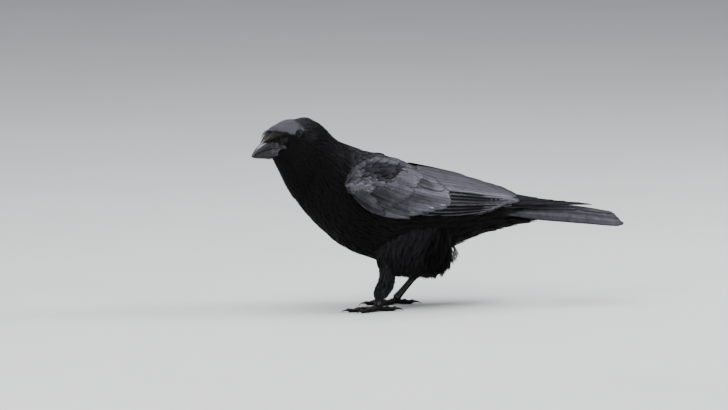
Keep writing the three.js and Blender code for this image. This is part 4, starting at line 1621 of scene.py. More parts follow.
@dataclass
class BodyCoat:
    """The feathers of the head, neck, back, breast, belly and vent."""

    seed: int = 11

    def head(self, finish: Material) -> Object:
        """The short close feathers of the head."""
        rng = np.random.default_rng(self.seed)
        coat = Coat("coat_head", rng, (0, 5))

        def length(t: Array, a: Array) -> Array:
            """Longer under the chin."""
            return np.interp(t, (0, 1, 2, 3, 4, 4.8), (3.6, 4.0, 4.8, 5.8, 7.4, 8.6)) * (
                1 + 0.35 * ease(120, 165, from_back(a)))

        def keep(t: Array, a: Array) -> Array:
            """All but the eyes and the edge of the mouth."""
            p = head_measure(BODY_CHART.read(t, a)[0])
            mouth = (p[..., 0] > 21) & (np.abs(p[..., 2] + 10.4) < 3.4)
            eye = p[..., 0] ** 2 + p[..., 2] ** 2 < 4.3**2
            return ~(mouth | (eye & (np.abs(p[..., 1]) > 8)))

        Tract((0.0, 4.8), length, keep, 0.17, 0.21, crown_gloss_and_painted_glint, stray=0.12, rim=0.08, lift=0.6, base=-0.5,
              arch=0.012).grow(coat, BODY_CHART, fine_vanes(rng), clear=4.4)
        return coat.build(finish)

    def neck(self, finish: Material) -> Object:
        """The velvety neck and its throat hackles."""
        rng = np.random.default_rng(self.seed + 1)
        coat = Coat("coat_neck", rng, (4, 8))

        def length(t: Array, a: Array) -> Array:
            """Longer on the throat."""
            return np.interp(t, (4, 5, 6, 7, 8), (8, 9.5, 11.5, 13.5, 15.5)) * (
                1 + 0.3 * ease(120, 170, from_back(a)))

        def gloss(t: Array, a: Array) -> Array:
            """The crown's sheen, and a little more down the nape."""
            return crown_gloss_and_painted_glint(t, a) + 0.12 * (1 - ease(40, 100, from_back(a))) * ease(5, 7.5, t)

        Tract((4.3, 7.6), length, everywhere, 0.19, 0.25, gloss, stray=0.14, rim=0.05, lift=0.6,
              base=lambda t, a: -1.1 - 0.9 * ease(4.3, 5.5, t)).grow(coat, BODY_CHART, lance_vanes(rng))
        return coat.build(finish)

    def back(self, finish: Material) -> Object:
        """The mantle, back and rump, with the long feathers over the tail's root."""
        rng = np.random.default_rng(self.seed + 2)
        coat = Coat("coat_back", rng, (7, 16))
        length = by_row((7, 8, 9.5, 12, 14, 16), (15, 18, 21, 24, 30, 34))

        def gloss(t: Array, a: Array) -> Array:
            """Glossier towards the rump."""
            return 0.1 + 0.28 * ease(7.6, 9.2, t) + 0.34 * ease(9.4, 11.5, t)

        Tract((7.2, 12.0), length, lambda t, a: from_back(a) < 62, 0.26, 0.22, gloss, stray=0.08, rim=0.2,
              base=lambda t, a: -2.0 + 1.2 * (1 - ease(7.2, 8.4, t)), arch=0.012).grow(
            coat, BODY_CHART, round_vanes(rng, 7))
        Tract((12.0, 14.6), length, lambda t, a: from_back(a) < 50, 0.26, 0.26, gloss, stray=0.08, rim=0.2,
              base=-0.8, arch=0.012).grow(coat, BODY_CHART, round_vanes(rng, 7))
        return coat.build(finish)

    def breast(self, finish: Material) -> Object:
        """The breast, belly and the sides below the wings."""
        rng = np.random.default_rng(self.seed + 3)
        coat = Coat("coat_breast", rng, (7, 12))
        length = by_row((7, 8, 10, 12), (14, 16, 21, 26))
        Tract((7.3, 9.4), length, lambda t, a: from_back(a) > 60, 0.22, 0.25, stray=0.13, rim=0.05,
              base=-1.0).grow(coat, BODY_CHART, lance_vanes(rng, 7, 0.08))
        Tract((9.2, 11.6), length, lambda t, a: from_back(a) > 92, 0.22, 0.25, stray=0.14, rim=0.05).grow(
            coat, BODY_CHART, lance_vanes(rng, 7, 0.1))
        return coat.build(finish)

    def vent(self, finish: Material) -> Object:
        """The loose feathers of the flanks, the vent and under the tail."""
        rng = np.random.default_rng(self.seed + 4)
        coat = Coat("coat_vent", rng, (10, 16))
        loose = [plume(rng, 12, 0.55, 5.0) for _ in range(5)]
        length = by_row((10, 12, 14, 16), (24, 29, 32, 34))
        Tract((10.3, 13.2), length, lambda t, a: from_back(a) > 90, 0.2, 0.24, stray=0.14, rim=0.05).grow(
            coat, BODY_CHART, loose)
        Tract((11.2, 14.2), always(22.0), lambda t, a: np.abs(from_back(a) - 88) < 40, 0.18, 0.26,
              stray=0.1, rim=0.05, base=-1.6, arch=0.01).grow(coat, BODY_CHART, lance_vanes(rng, 7, 0.1))
        Tract((12.8, 15.4), length, lambda t, a: from_back(a) > 90 + 34 * ease(12.4, 13.6, t), 0.2, 0.24,
              stray=0.09, rim=0.05).grow(coat, BODY_CHART, lance_vanes(rng, 8, 0.08) + loose[:2])
        return coat.build(finish)


@dataclass(frozen=True)
class Fan:
    """Feathers side by side, each from a root to a tip, the first one deepest.

    Attributes:
        count: How many there are.
        roots: Places along the line of their roots.
        tips: Places along the line of their tips.
        half: Half widths along the fan.
        rise: Heights along the fan.
        gloss: Gloss along the fan.
        sink: How far each root lies under its tip.
        bow: How far the lines bow, in columns.
        arch: How far each is arched.
        tilt: How much higher each inner edge is.
        rim: How much glossier the tips are.
        painted_overlap_shade: How much duller the inner part of each is, a painted shade towards the feather
            that overlaps it.
    """

    count: int
    roots: tuple[Pair, ...]
    tips: tuple[Pair, ...]
    half: tuple[float, ...]
    rise: tuple[float, ...]
    gloss: tuple[float, ...] = (0.6,)
    sink: float = 1.6
    bow: float = 0.0
    arch: float = 0.8
    tilt: float = 0.35
    rim: float = 0.25
    painted_overlap_shade: float = 0.0

    def along(self, values: Sequence[float]) -> Array:
        """Values along the fan, at each feather."""
        values = np.asarray(values, float)
        return np.interp(np.linspace(0, len(values) - 1, self.count), np.arange(len(values)), values)

    def ends(self, places: Sequence[Pair], table: Array) -> Array:
        """Row and column numbers of ends that are given as x and column."""
        x, column = (self.along([p[k] for p in places]) for k in (0, 1))
        return np.stack([station_of(table, x), column], -1)

    def spread(
        self, coat: Coat, chart: Chart, table: Array, templates: Sequence[Template], mirror: bool,
        loose: float = 0.0,
    ) -> None:
        """Lays the fan's feathers in a coat.

        Args:
            coat: The piece they join.
            chart: The surface.
            table: The table whose first column is x.
            templates: The feathers of a left side.
            mirror: Whether this is a right side.
            loose: How unevenly they lie, in millimetres.
        """
        roots, tips = self.ends(self.roots, table), self.ends(self.tips, table)
        tips = tips + coat.rng.normal(size=tips.shape) * (0.02, 0.004) * (1 + loose)
        bow = np.linspace(1, 0.3, self.count) * self.bow
        lines = Lines.aimed(chart, roots, tips, bow)
        rise = self.along(self.rise) + loose * 0.15 * coat.rng.normal(size=self.count)
        sign = -1 if mirror else 1
        even = np.ones(self.count)
        pile = Pile(rise - self.sink, rise, self.arch * even, sign * self.tilt * even, 0.2, 0.9)
        used = [t.mirrored() for t in templates] if mirror else list(templates)
        share = chart.share(roots[:, 0], roots[:, 1], coat.unroll)
        coat.add(lines, self.along(self.half), pile, used, share, self.along(self.gloss), self.rim, 0.1,
                 sign * self.painted_overlap_shade)


FLIGHTS = (
    Fan(10, ((-52, 0.99), (-40, 0.8)),
        ((112, 0.6), (142, 0.52), (170, 0.7), (184, 0.95), (193, 0.7), (195, 0.42), (184, 0.3), (166, 0.2),
         (148, 0.14), (128, 0.1)), (6.5, 8, 9.5), (-3.6, -1.7), (0.35, 0.6, 0.65), 1.0, bow=0.1, arch=0.35,
        tilt=0.15, painted_overlap_shade=0.6),
    Fan(9, ((-46, 0.97), (-34, 0.38)),
        ((56, 1.02), (58, 0.95), (64, 0.88), (71, 0.8), (79, 0.71), (87, 0.62), (95, 0.53), (103, 0.44),
         (102, 0.36)),
        (8.5, 10.5), (-1.7, 0.3), (0.8, 0.95), 1.0, bow=0.03, arch=0.3, tilt=0.1, painted_overlap_shade=0.9),
    Fan(5, ((-38, 0.36), (-28, 0.08)), ((98, 0.3), (94, 0.22), (84, 0.16), (68, 0.11), (46, 0.08)),
        (11.5, 12), (0.4, 0.9), (0.95,), 1.0, arch=0.45, tilt=0.15, painted_overlap_shade=0.3),
)
WITHIN = (0.02, 1.03)  # the columns of the wing that its coverts keep to
COVERTS = (
    Fan(9, ((-106, 0.95), (-98, 0.74)), ((-47, 1.02), (-43, 0.88)), (4.6, 5), (-0.8, 0.2), (0.95, 0.55), 1.0,
        rim=0.3, tilt=0.2, painted_overlap_shade=0.3),
    Fan(3, ((-114, 0.86), (-111, 0.7)), ((-74, 0.96), (-84, 0.84)), (4.6, 5.2), (0.3, 0.7), (0.6,), 0.8,
        rim=0.2, tilt=0.2, painted_overlap_shade=0.15),
    Fan(14, ((-94, 0.8), (-72, 0.68), (-48, 0.48), (-34, 0.24)),
        ((-34, 0.93), (-22, 0.88), (-8, 0.83), (4, 0.75), (10, 0.65), (6, 0.54), (0, 0.42), (-2, 0.3)),
        (6.5, 8.5), (0.2, 0.9), (0.6, 0.7, 0.85, 0.95), 1.0, rim=0.6, arch=0.4, tilt=0.1, painted_overlap_shade=0.25),
    Fan(12, ((-104, 0.72), (-82, 0.56), (-62, 0.38), (-50, 0.2)),
        ((-66, 0.84), (-54, 0.74), (-44, 0.62), (-36, 0.48), (-28, 0.34), (-22, 0.22)), (6, 7.5), (0.7, 1.1),
        (0.4, 0.6, 0.85, 0.95), 0.8, rim=0.2, arch=0.4, tilt=0.1, painted_overlap_shade=0.15),
)


def patch(t: Array, v: Array) -> Array:
    """How far a place is from the middle of the shoulder's rounded patch, 1 at its rim."""
    x = np.interp(t, np.arange(len(WING)), WING[:, 0])
    return np.hypot((x + 87) / 31, (v - 0.27) / 0.23)


@dataclass
class Wing:
    """One folded wing: its long feathers and the rows that cover their roots."""

    name: str
    side: int
    seed: int = 31

    def flights(self, finish: Material) -> Object:
        """Primaries, secondaries and tertials."""
        rng = np.random.default_rng(self.seed)
        coat = Coat(f"flight_{self.name}", rng, (0, 13))
        columns = (-1, -0.6, -0.12, 0, 0.12, 0.6, 1)
        long = [vane(Outline.BLADE, 26, columns, rng, 0.008, 0.7, 0.5, 2) for _ in range(4)]
        broad = [vane(Outline.FLIGHT, 24, columns, rng, 0.01, 0.75, 0.5, 2) for _ in range(3)]
        leaf = [vane(Outline.BROAD, 22, columns, rng, 0.012, 0.75, 0.5, 1) for _ in range(3)]
        for fan, templates in zip(FLIGHTS, (long, broad, leaf)):
            fan.spread(coat, WING_CHARTS[self.side], WING, templates, self.side > 0)
        made = coat.build(finish)
        return made

    def coverts(self, finish: Material) -> Object:
        """The wing's coverts and the scapulars over its upper edge."""
        rng = np.random.default_rng(self.seed + 5)
        coat = Coat(f"coverts_{self.name}", rng, (0, 7))
        chart = WING_CHARTS[self.side]
        columns = (-1, -0.55, -0.12, 0, 0.12, 0.55, 1)
        row = [vane(Outline.BROAD, 11, columns, rng, 0.03, 0.85, 0.35, 2) for _ in range(5)]
        length = by_row((0, 1, 2, 3.2, 4.4), (8, 10.5, 14, 18, 22))
        long = by_row((0, 1, 2, 3, 4, 6), (11, 15, 20, 25, 29, 32))

        def gloss(t: Array, v: Array) -> Array:
            """Brightest at the bend, where a highlight is painted on."""
            bend = (1 - ease(0.9, 2.4, t)) * hump(v, 0.6, 0.1)
            # The bend's term is a painted highlight on the wing's bend.
            return 0.32 + 0.3 * ease(1.5, 3, t) * (1 - ease(0.5, 0.7, v)) + 1.35 * bend

        def drift(t: Array, v: Array) -> Array:
            """Turned one way above the wing's middle and the other way below, most at the bend."""
            return -self.side * (0.1 + 0.34 * (1 - ease(0, 1.6, t))) * (0.6 - v)

        for fan in COVERTS:
            fan.spread(coat, chart, WING, row, self.side > 0, 1.2)
        Tract((-0.35, 3.4), length,
              lambda t, v: (patch(t, v) > 0.85) & (v < 0.9 - 0.13 * np.maximum(t, 0)),
              0.3, 0.24, gloss, drift, 0.1, 0.6, 0.2, base=0.4, arch=0.012, within=WITHIN).grow(
            coat, chart, round_vanes(rng, 7, 0.02) + lance_vanes(rng, 7, 0.02)[:3])

        def sheen(t: Array, v: Array) -> Array:
            """Dull on the shoulder's patch, brighter outside it, with a painted highlight along its rim."""
            near = patch(t, v)
            # A painted highlight along the upper rim of the patch.
            rim = hump(near, 1.0, 0.2) * (1 - ease(0.3, 0.5, v))
            return mix(0.16, 0.42 + 0.4 * ease(2.6, 4.2, t), ease(0.7, 1.25, near)) + 0.34 * rim

        def over(t: Array, v: Array) -> Array:
            """Sunk at the upper edge, and a little higher on the shoulder's patch."""
            return -3.2 + 3.6 * ease(0.02, 0.25, v) + 0.3 * (1 - ease(0.7, 1.0, patch(t, v)))

        Tract((0.3, 5.4), long,
              lambda t, v: (v > 0.03) & ((v < 0.36 - 0.13 * np.maximum(t - 3, 0)) | (patch(t, v) < 0.95)),
              0.22, 0.17, sheen,
              lambda t, v: -self.side * (0.3 * (0.2 - v) + 0.14 * (patch(t, v) < 1)),
              0.09, 0.25, 0.15, base=over, arch=0.003, within=WITHIN).grow(
            coat, chart, round_vanes(rng, 8, 0.015) + lance_vanes(rng, 8, 0.015)[:3])
        return coat.build(finish)


@dataclass
class Tail:
    """Twelve tail feathers, the middle pair on top."""

    seed: int = 51

    def build(self, finish: Material) -> Object:
        """Lays the feathers from the outermost in, on each side."""
        rng = np.random.default_rng(self.seed)
        coat = Coat("tail_feathers", rng, (0, 6))
        columns = (-1, -0.6, -0.1, 0, 0.1, 0.6, 1)
        long = [vane(Outline.BLUNT, 26, columns, rng, 0.01, 0.5, 0.4, 3) for _ in range(4)]
        for side in (1, -1):
            c = side * np.array((0.93, 0.76, 0.58, 0.4, 0.22, 0.06))
            x = np.array((217, 218, 218.5, 219, 219.5, 220)) if side > 0 else np.array(
                (227, 226, 224.5, 222.5, 221, 220.5))
            fan = Fan(6, ((72, c[0] * 0.75), (76, c[-1])), tuple(zip(x, c)), (12, 13), (-1.6, 0.7), (0.5,),
                      0.6, arch=0.7, tilt=0.3, rim=0.1)
            fan.spread(coat, TAIL_CHART, TAIL, long, side > 0)
        made = coat.build(finish)
        return made


def skirt(table: Array) -> Array:
    """A thigh's slices without the taper at their foot, for feathers that hang free."""
    wide = table.copy()
    wide[-2, 2], wide[-1, 2] = wide[-3, 2] * 0.9, wide[-3, 2] * 0.74
    wide[-2, 4], wide[-1, 4] = wide[-3, 4] * 0.8, wide[-3, 4] * 0.55
    return wide


@dataclass
class Trousers:
    """The loose feathers of one thigh and the close ones of its sock."""

    leg: Leg
    seed: int = 71

    def build(self, finish: Material) -> Object:
        """Lays the thigh's and the sock's feathers in one piece, and the fringe's wisps in another."""
        rng = np.random.default_rng(self.seed)
        coat = Coat(f"coat_thigh_{self.leg.name}", rng, (0, 6))
        thigh, sock = (
            Chart.of(sliced_place(table, self.leg.side), (0, len(table) + 0.5), (-math.pi, math.pi),
                     (150, 150), ring_core, ring=True)
            for table in (skirt(self.leg.thigh), self.leg.sock)
        )
        loose = [plume(rng, 13, 0.45, 6.0) for _ in range(5)]

        def sheen(t: Array, a: Array) -> Array:
            """A little glossier at the top, partly a painted sheen where light falls on the thigh."""
            return 0.07 + 0.06 * (1 - ease(1.2, 3.4, t))

        def length(t: Array, a: Array) -> Array:
            """Shorter down the thigh, and there longer at the rear than in front."""
            return np.interp(t, (0, 2.6, 3.6, 4.6, 5.6), (23, 19, 15, 10, 5)) * (
                1 + 0.25 * np.cos(a) * ease(2, 4, t))

        def down(t: Array, a: Array) -> Array:
            """Turned on the outer and the inner side, straight in front and at the rear."""
            return 0.22 * np.sin(a) * self.leg.side

        def tuck(t: Array, a: Array) -> Array:
            """Sunk at the top."""
            return -1.6 * (1 - ease(0.4, 1.6, t))

        Tract((0.3, 4.6), length, everywhere, 0.22, 0.25, sheen, down, 0.14, 1.0, 0.05, base=tuck).grow(
            coat, thigh, lance_vanes(rng, 7, 0.1))
        Tract((2.6, 5.5), length, everywhere, 0.18, 0.265, sheen, down, 0.16, 0.9, 0.05).grow(
            coat, thigh, loose)
        wisps = [plume(rng, 12, 0.4, 7.0) for _ in range(4)]
        fringe = Coat(f"coat_fringe_{self.leg.name}", rng, (0, 6))
        for lift, over in ((3.0, 0.4), (6.0, 0.9), (10.0, 1.4)):
            Tract((0.5, 3.8), lambda t, a: 29 - 4.4 * t, lambda t, a: np.abs(a) < 1.0, 0.15, 0.2, None, down,
                  0.2, lift, 0.05, arch=0.0015,
                  base=lambda t, a: over * (5.5 - 1.3 * t) * np.cos(a) * ease(0.4, 1.6, t)).grow(
                fringe, thigh, wisps)
        fringe.build(finish)
        end = len(self.leg.sock) - 1
        Tract((0.2, end - 0.6), by_row((0, end), (13, 7.5)), everywhere, 0.2, 0.28, always(0.2), None, 0.14,
              1.2, 0.05).grow(coat, sock, lance_vanes(rng, 6, 0.08))
        return coat.build(finish)


@dataclass
class NostrilTufts:
    """The two tufts of stiff feathers that lie forward over the nostrils."""

    seed: int = 91

    def build(self, finish: Material) -> Object:
        """Lays them on the cap, from its tip back to the face."""
        rng = np.random.default_rng(self.seed)
        coat = Coat("nostril_tufts", rng, (0, 4))
        stiff = [vane(Outline.LANCE, 6, (-1, -0.4, 0, 0.4, 1), rng, 0.04) for _ in range(5)]
        length = by_row((0, 2, 3, 4), (13, 12, 10, 7))

        def gloss(t: Array, a: Array) -> Array:
            """A painted highlight along the upper part of each side."""
            return 0.1 + 0.95 * hump(np.abs(np.sin(a)), 0.7, 0.32) * ease(0.5, 2.2, t) * (a > 0)

        Tract((0.4, 3.8), length, lambda t, a: (a > -0.45) & (a < math.pi + 0.45), 0.05, 0.075, gloss,
              lambda t, a: -0.1 * np.cos(a), 0.07, 0.9, 0.15, base=0.2).grow(coat, CAP_CHART, stiff)
        return coat.build(finish)


@dataclass
class Bristles:
    """The stiff hairs round the corner of the mouth and over the nostrils."""

    length: float = 0.0105
    width: float = 0.00011
    density: float = 900000.0
    bow: float = 0.2

    def tree(self) -> Growth:
        """The nodes that scatter bowed, tapering hairs over a bed."""
        tree = Growth("bristles", Length=self.length, Width=self.width, Density=self.density, Bow=self.bow)
        points = tree.node("GeometryNodeDistributePointsOnFaces", {"distribute_method": "RANDOM"}, {
            "Mesh": tree.given("Bed"), "Density": tree.given("Density"), "Seed": 17}, "Points")
        hair = tree.node("GeometryNodeMeshCone", {"fill_type": "TRIANGLE_FAN"}, {
            "Vertices": 4, "Side Segments": 4, "Radius Top": 0.08, "Radius Bottom": 1.0, "Depth": 1.0,
        }, "Mesh")
        high = tree.node("ShaderNodeSeparateXYZ", {}, {0: tree.node("GeometryNodeInputPosition")}, "Z")
        thick = tree.given("Length") / tree.given("Width")
        aside = high * (1 - high) * 4 * tree.given("Bow") * thick
        hair = tree.node("GeometryNodeSetPosition", {}, {
            "Geometry": hair, "Offset": tree.node("ShaderNodeCombineXYZ", {}, {"X": aside})})
        hair = tree.mark(hair, "own", tree.node("GeometryNodeInputPosition"), "FLOAT_VECTOR")
        part = tree.node("FunctionNodeRandomValue", {"data_type": "FLOAT"}, {2: 0.55, 3: 1.1, "Seed": 5}, 1)
        size = tree.node("ShaderNodeCombineXYZ", {}, {
            "X": tree.given("Width"), "Y": tree.given("Width"), "Z": tree.given("Length") * part})
        tree.plant(points, hair, size)
        return tree

    def bed(self, side: int, rows: Pair, turn: Pair) -> tuple[Array, ...]:
        """A band of the cap where hairs grow: places, quads, ways and bake places."""
        t, a = grid(np.linspace(*rows, 12), np.linspace(*turn, 8))
        a = a if side > 0 else np.pi - a
        place, normal, along, _ = CAP_CHART.read(t, a)
        way = unit(unit(along) + 0.18 * normal - (0, 0, 0.2))
        share = np.append(CAP_CHART.share(t.ravel(), a.ravel(), (0, 4)), np.zeros((t.size, 1)), 1)
        at = np.arange(t.size).reshape(t.shape)
        quads = np.stack([at[:-1, :-1], at[1:, :-1], at[1:, 1:], at[:-1, 1:]], -1).reshape(-1, 4)
        return place.reshape(-1, 3), quads, way.reshape(-1, 3), normal.reshape(-1, 3), share

    def build(self, finish: Material) -> None:
        """Grows the hairs on both sides, as one piece."""
        parts = [self.bed(side, rows, turn) for side in (1, -1)
                 for rows, turn in (((0.1, 1.6), (-0.5, 0.05)), ((0.2, 2.6), (0.35, 1.2)))]
        start = np.cumsum([0] + [len(part[0]) for part in parts[:-1]])
        place, way, normal, share = (np.concatenate([part[k] for part in parts]) for k in (0, 2, 3, 4))
        quads = np.concatenate([part[1] + k for part, k in zip(parts, start)])
        bed = mesh_object("bed_bristles", place, quads, values={"out": way, "lie": normal, "share": share})
        made = self.tree().grow("face_bristles", bed, finish)
        mesh = made.data
        corner = np.zeros(len(mesh.loops), int)
        mesh.loops.foreach_get("vertex_index", corner)
        root, own = (np.zeros(3 * len(mesh.vertices), np.float32) for _ in range(2))
        mesh.attributes["share"].data.foreach_get("vector", root)
        mesh.attributes["own"].data.foreach_get("vector", own)
        root, along = root.reshape(-1, 3)[:, :2], own.reshape(-1, 3)[:, 2]
        vane_uv = np.stack([np.full(len(along), 0.3), along], -1)
        for key, uv in (("OFBake", root + vane_uv * BAKE_PATCH), ("Vane", vane_uv)):
            mesh.uv_layers.new(name=key).data.foreach_set("uv", uv[corner].astype(np.float32).ravel())
        for key, value in (("tone", 0.5), ("gloss", 0.42)):
            mesh.attributes.new(key, "FLOAT", "POINT").data.foreach_set(
                "value", np.full(len(mesh.vertices), value, np.float32))
        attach(made, "root")


# ---- Bill, eyes and feet ----


BILL_RINGS, BILL_ARC = 64, 30  # rings along a half of the bill, and points over each one's arch
FOLD_RINGS, FOLD_SIDES = 40, 14  # the same for one fold at the corner of the mouth
FOLDS = ((1.5, 0.9), (-0.05, 0.75), (-1.7, 1.0))  # each one's place and thickness
BALL_RINGS, LID_POINTS = 64, 96
RING_TOP = 1.4  # the ring number of the ball's rear half, before it is scaled
SHANK_SCUTES = 15
CLAW_RINGS, CLAW_SIDES = 26, 16


@dataclass
class Bill:
    """The two halves of the bill and the soft fold at its corner."""

    end: float = 65.2
    lower_end: float = 62.9
    lip: float = 0.2

    def half(self, upper: bool) -> tuple[Array, Array, Array]:
        """One half: its points, its triangles and how pale each point is, from rubbed ridges, painted
        highlights and painted shade.
        """
        count, arc = BILL_RINGS, BILL_ARC
        end = self.end if upper else self.lower_end
        share = np.linspace(0, 1, count)
        u = 15 + (end - 15) * (1 - (1 - share) ** 1.5)
        t = np.interp(u, BILL[:, 0], np.arange(len(BILL)))
        row = through(BILL, t)
        near = (end - u) / 2.2
        close = np.sqrt(np.clip(1 - (1 - np.clip(near, 0, 1)) ** 2, 0.012, 1))
        edge = row[:, 2] + (self.lip if upper else -self.lip)
        far = row[:, 1] if upper else row[:, 3]
        middle = mix(edge, far, 0.35)
        edge, far = mix(middle, edge, close), mix(middle, far, close)
        half = np.maximum(row[:, 4] * (1 if upper else 0.9), 0.5) * close
        a = np.linspace(0, np.pi, arc)
        swell_in = 1 - 0.06 * np.sin(2 * np.abs(a - np.pi / 2)) ** 2
        side = half[:, None] * (np.cos(a) * swell_in)[None]
        high = edge[:, None] + (far - edge)[:, None] * (np.sin(a) ** 0.8)[None]
        base = (1 - ease(30, 42, u))[:, None] * np.clip(np.abs(np.cos(a)) * 1.6 - 0.25, 0, 1)[None]
        fold = np.sin(high * 3.9 + 0.9 * np.sin(u * 0.45)[:, None])
        fold = fold + 0.5 * np.sin(high * 8.3 + u[:, None] * 0.7)
        side = side + np.sign(side) * 0.24 * base * fold
        inner = np.linspace(-1, 1, 9)[1:-1]
        inner_side = half[:, None] * inner[None] * 0.94
        dip = (0.9 if upper else -0.9) * (1 - inner**2)[None] * close[:, None]
        inner_high = edge[:, None] + dip
        side, high = np.concatenate([side, inner_side], 1), np.concatenate([high, inner_high], 1)
        rings = head_point(np.broadcast_to(u[:, None], side.shape), side, high)
        points, faces = tube(rings)
        rub = np.zeros(side.shape)
        up, row_u = np.sin(a)[None], u[:, None]
        fore = ease(38, 44, row_u)
        # shine is a painted highlight, along the culmen on the upper half and along the mouth's edge on the
        # lower. The upper stripe is a painted reflection lower on the side; the lower one pales the base
        # near the mouth.
        if upper:
            shine = 1.15 * hump(up, 0.93, 0.2) * fore * (1 - 0.72 * ease(49, 60, row_u))
            stripe = 0.26 * hump(up, 0.42, 0.13) * fore * (1 - ease(57, 63, row_u))
        else:
            shine = 0.12 * hump(up, 0, 0.3) * fore * (1 - ease(50, 60, row_u))
            stripe = 0.16 * (1 - ease(0.4, 0.75, up)) * (1 - fore)
        # Painted shade, darker down the lower half towards its keel.
        painted_keel_shade = 0 if upper else 0.35 * up
        rub[:, :arc] = np.clip(0.04 + shine + stripe + base * (0.24 + 0.26 * fold) - painted_keel_shade, 0, 1)
        return points, faces, np.concatenate([rub.ravel(), [0.0, 0.2]])

    def gape(self, side: int) -> Mesh:
        """The folds of soft skin at one corner of the mouth."""
        parts = []
        for lift, thin in FOLDS:
            line = np.array([(38, 6.2, -9.3), (33, 8.1, -9.5), (28, 10.1, -9.7), (24, 12.0, -10.3),
                             (22, 12.9, -10.9), (20, 13.4, -11.8)])
            p = through(line, np.linspace(0, 5, FOLD_RINGS))
            bend = np.sin(np.linspace(0.3, 2.6, FOLD_RINGS))
            r = 0.85 * thin * np.sin(np.linspace(0.2, 2.95, FOLD_RINGS)) ** 0.5
            path = head_point(p[:, 0], side * p[:, 1], p[:, 2] + lift * bend)
            parts.append(tube(pipe(path, np.broadcast_to((0, 0, 1.0), path.shape), r, FOLD_SIDES)))
        return joined(parts)

    def build(self, horn: Material) -> None:
        """Builds the halves and the folds."""
        for upper, name in ((True, "upper"), (False, "lower")):
            points, faces, rub = self.half(upper)
            made = mesh_object(f"horn_bill_{name}", points, faces, horn, values={"rub": rub})
            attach(made, "root")
            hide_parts(f"bill_{name}")
            LOG.info("bill %s: %d triangles", name, len(faces))
        points, faces = joined([self.gape(1), self.gape(-1)])
        made = mesh_object("gape", points, faces, horn, values={"rub": np.full(len(points), 0.16)})
        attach(made, "root")


@dataclass
class Eye:
    """One eye with its lids."""

    name: str
    side: int
    aperture: float = 3.75

    def ball(self) -> tuple[Array, Array, Array]:
        """The eyeball, bulged a little at its cornea, and how far each point is from its axis."""
        p, q = grid(np.linspace(0.02, np.pi - 0.02, BALL_RINGS), circle(BALL_RINGS))
        r = EYE_RADIUS * (1 + 0.012 * hump(p, 0, 0.5))
        out = self.side * (EYE_SIDE + r * np.cos(p))
        rings = head_point(r * np.sin(p) * np.cos(q), out, r * np.sin(p) * np.sin(q))
        points, faces = tube(rings)
        ring = np.clip(np.sin(p) * EYE_RADIUS / self.aperture, 0, RING_TOP)
        ring = np.where(p > np.pi / 2, RING_TOP, ring) * 0.72
        return points, faces, np.concatenate([ring.ravel(), [0.0, 1.0]])

    def lids(self) -> Mesh:
        """The rims of bare skin round the eye, which slope back under the feathers."""
        q = circle(LID_POINTS)
        corner, upper = np.abs(np.cos(q)) ** 10, np.maximum(np.sin(q), 0) ** 2
        radius = self.aperture * (1 + 0.1 * corner - 0.12 * upper)
        out = np.array([-0.42, -0.3, 0.0, 0.3, 0.55, 0.9, 1.6, 2.7, 2.7, 1.2, 0.1])
        high = np.array([-0.1, 0.22, 0.36, 0.3, 0.12, -0.1, -0.5, -1.1, -2.2, -1.9, -1.0])
        r = radius[:, None] + out * (1 + 0.04 * np.sin(34 * q))[:, None]
        seat = np.sqrt(np.maximum(EYE_RADIUS**2 - radius**2, 0.5))[:, None]
        side = self.side * (EYE_SIDE + seat + high)
        points = head_point(r * np.cos(q)[:, None], side, r * np.sin(q)[:, None])
        n, m = r.shape
        at = np.arange(n * m).reshape(n, m)
        after, up = np.roll(at, -1, 0), np.roll(at, -1, 1)
        both = np.roll(after, -1, 1)
        faces = np.concatenate([tri(at, after, both), tri(at, both, up)])
        return points.reshape(-1, 3), faces if self.side < 0 else faces[:, ::-1]

    def build(self, wet: Material, soft: Material) -> None:
        """Builds the ball and the lids."""
        points, faces, ring = self.ball()
        made = mesh_object(f"eyeball_{self.name}", points, faces, wet, values={"ring": ring})
        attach(made, "root")
        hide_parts(f"eye_{self.name}")
        lids = mesh_object(f"eyelids_{self.name}", *self.lids(), soft)
        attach(lids, "root")
        LOG.info("eye %s: %d triangles", self.name, len(faces))


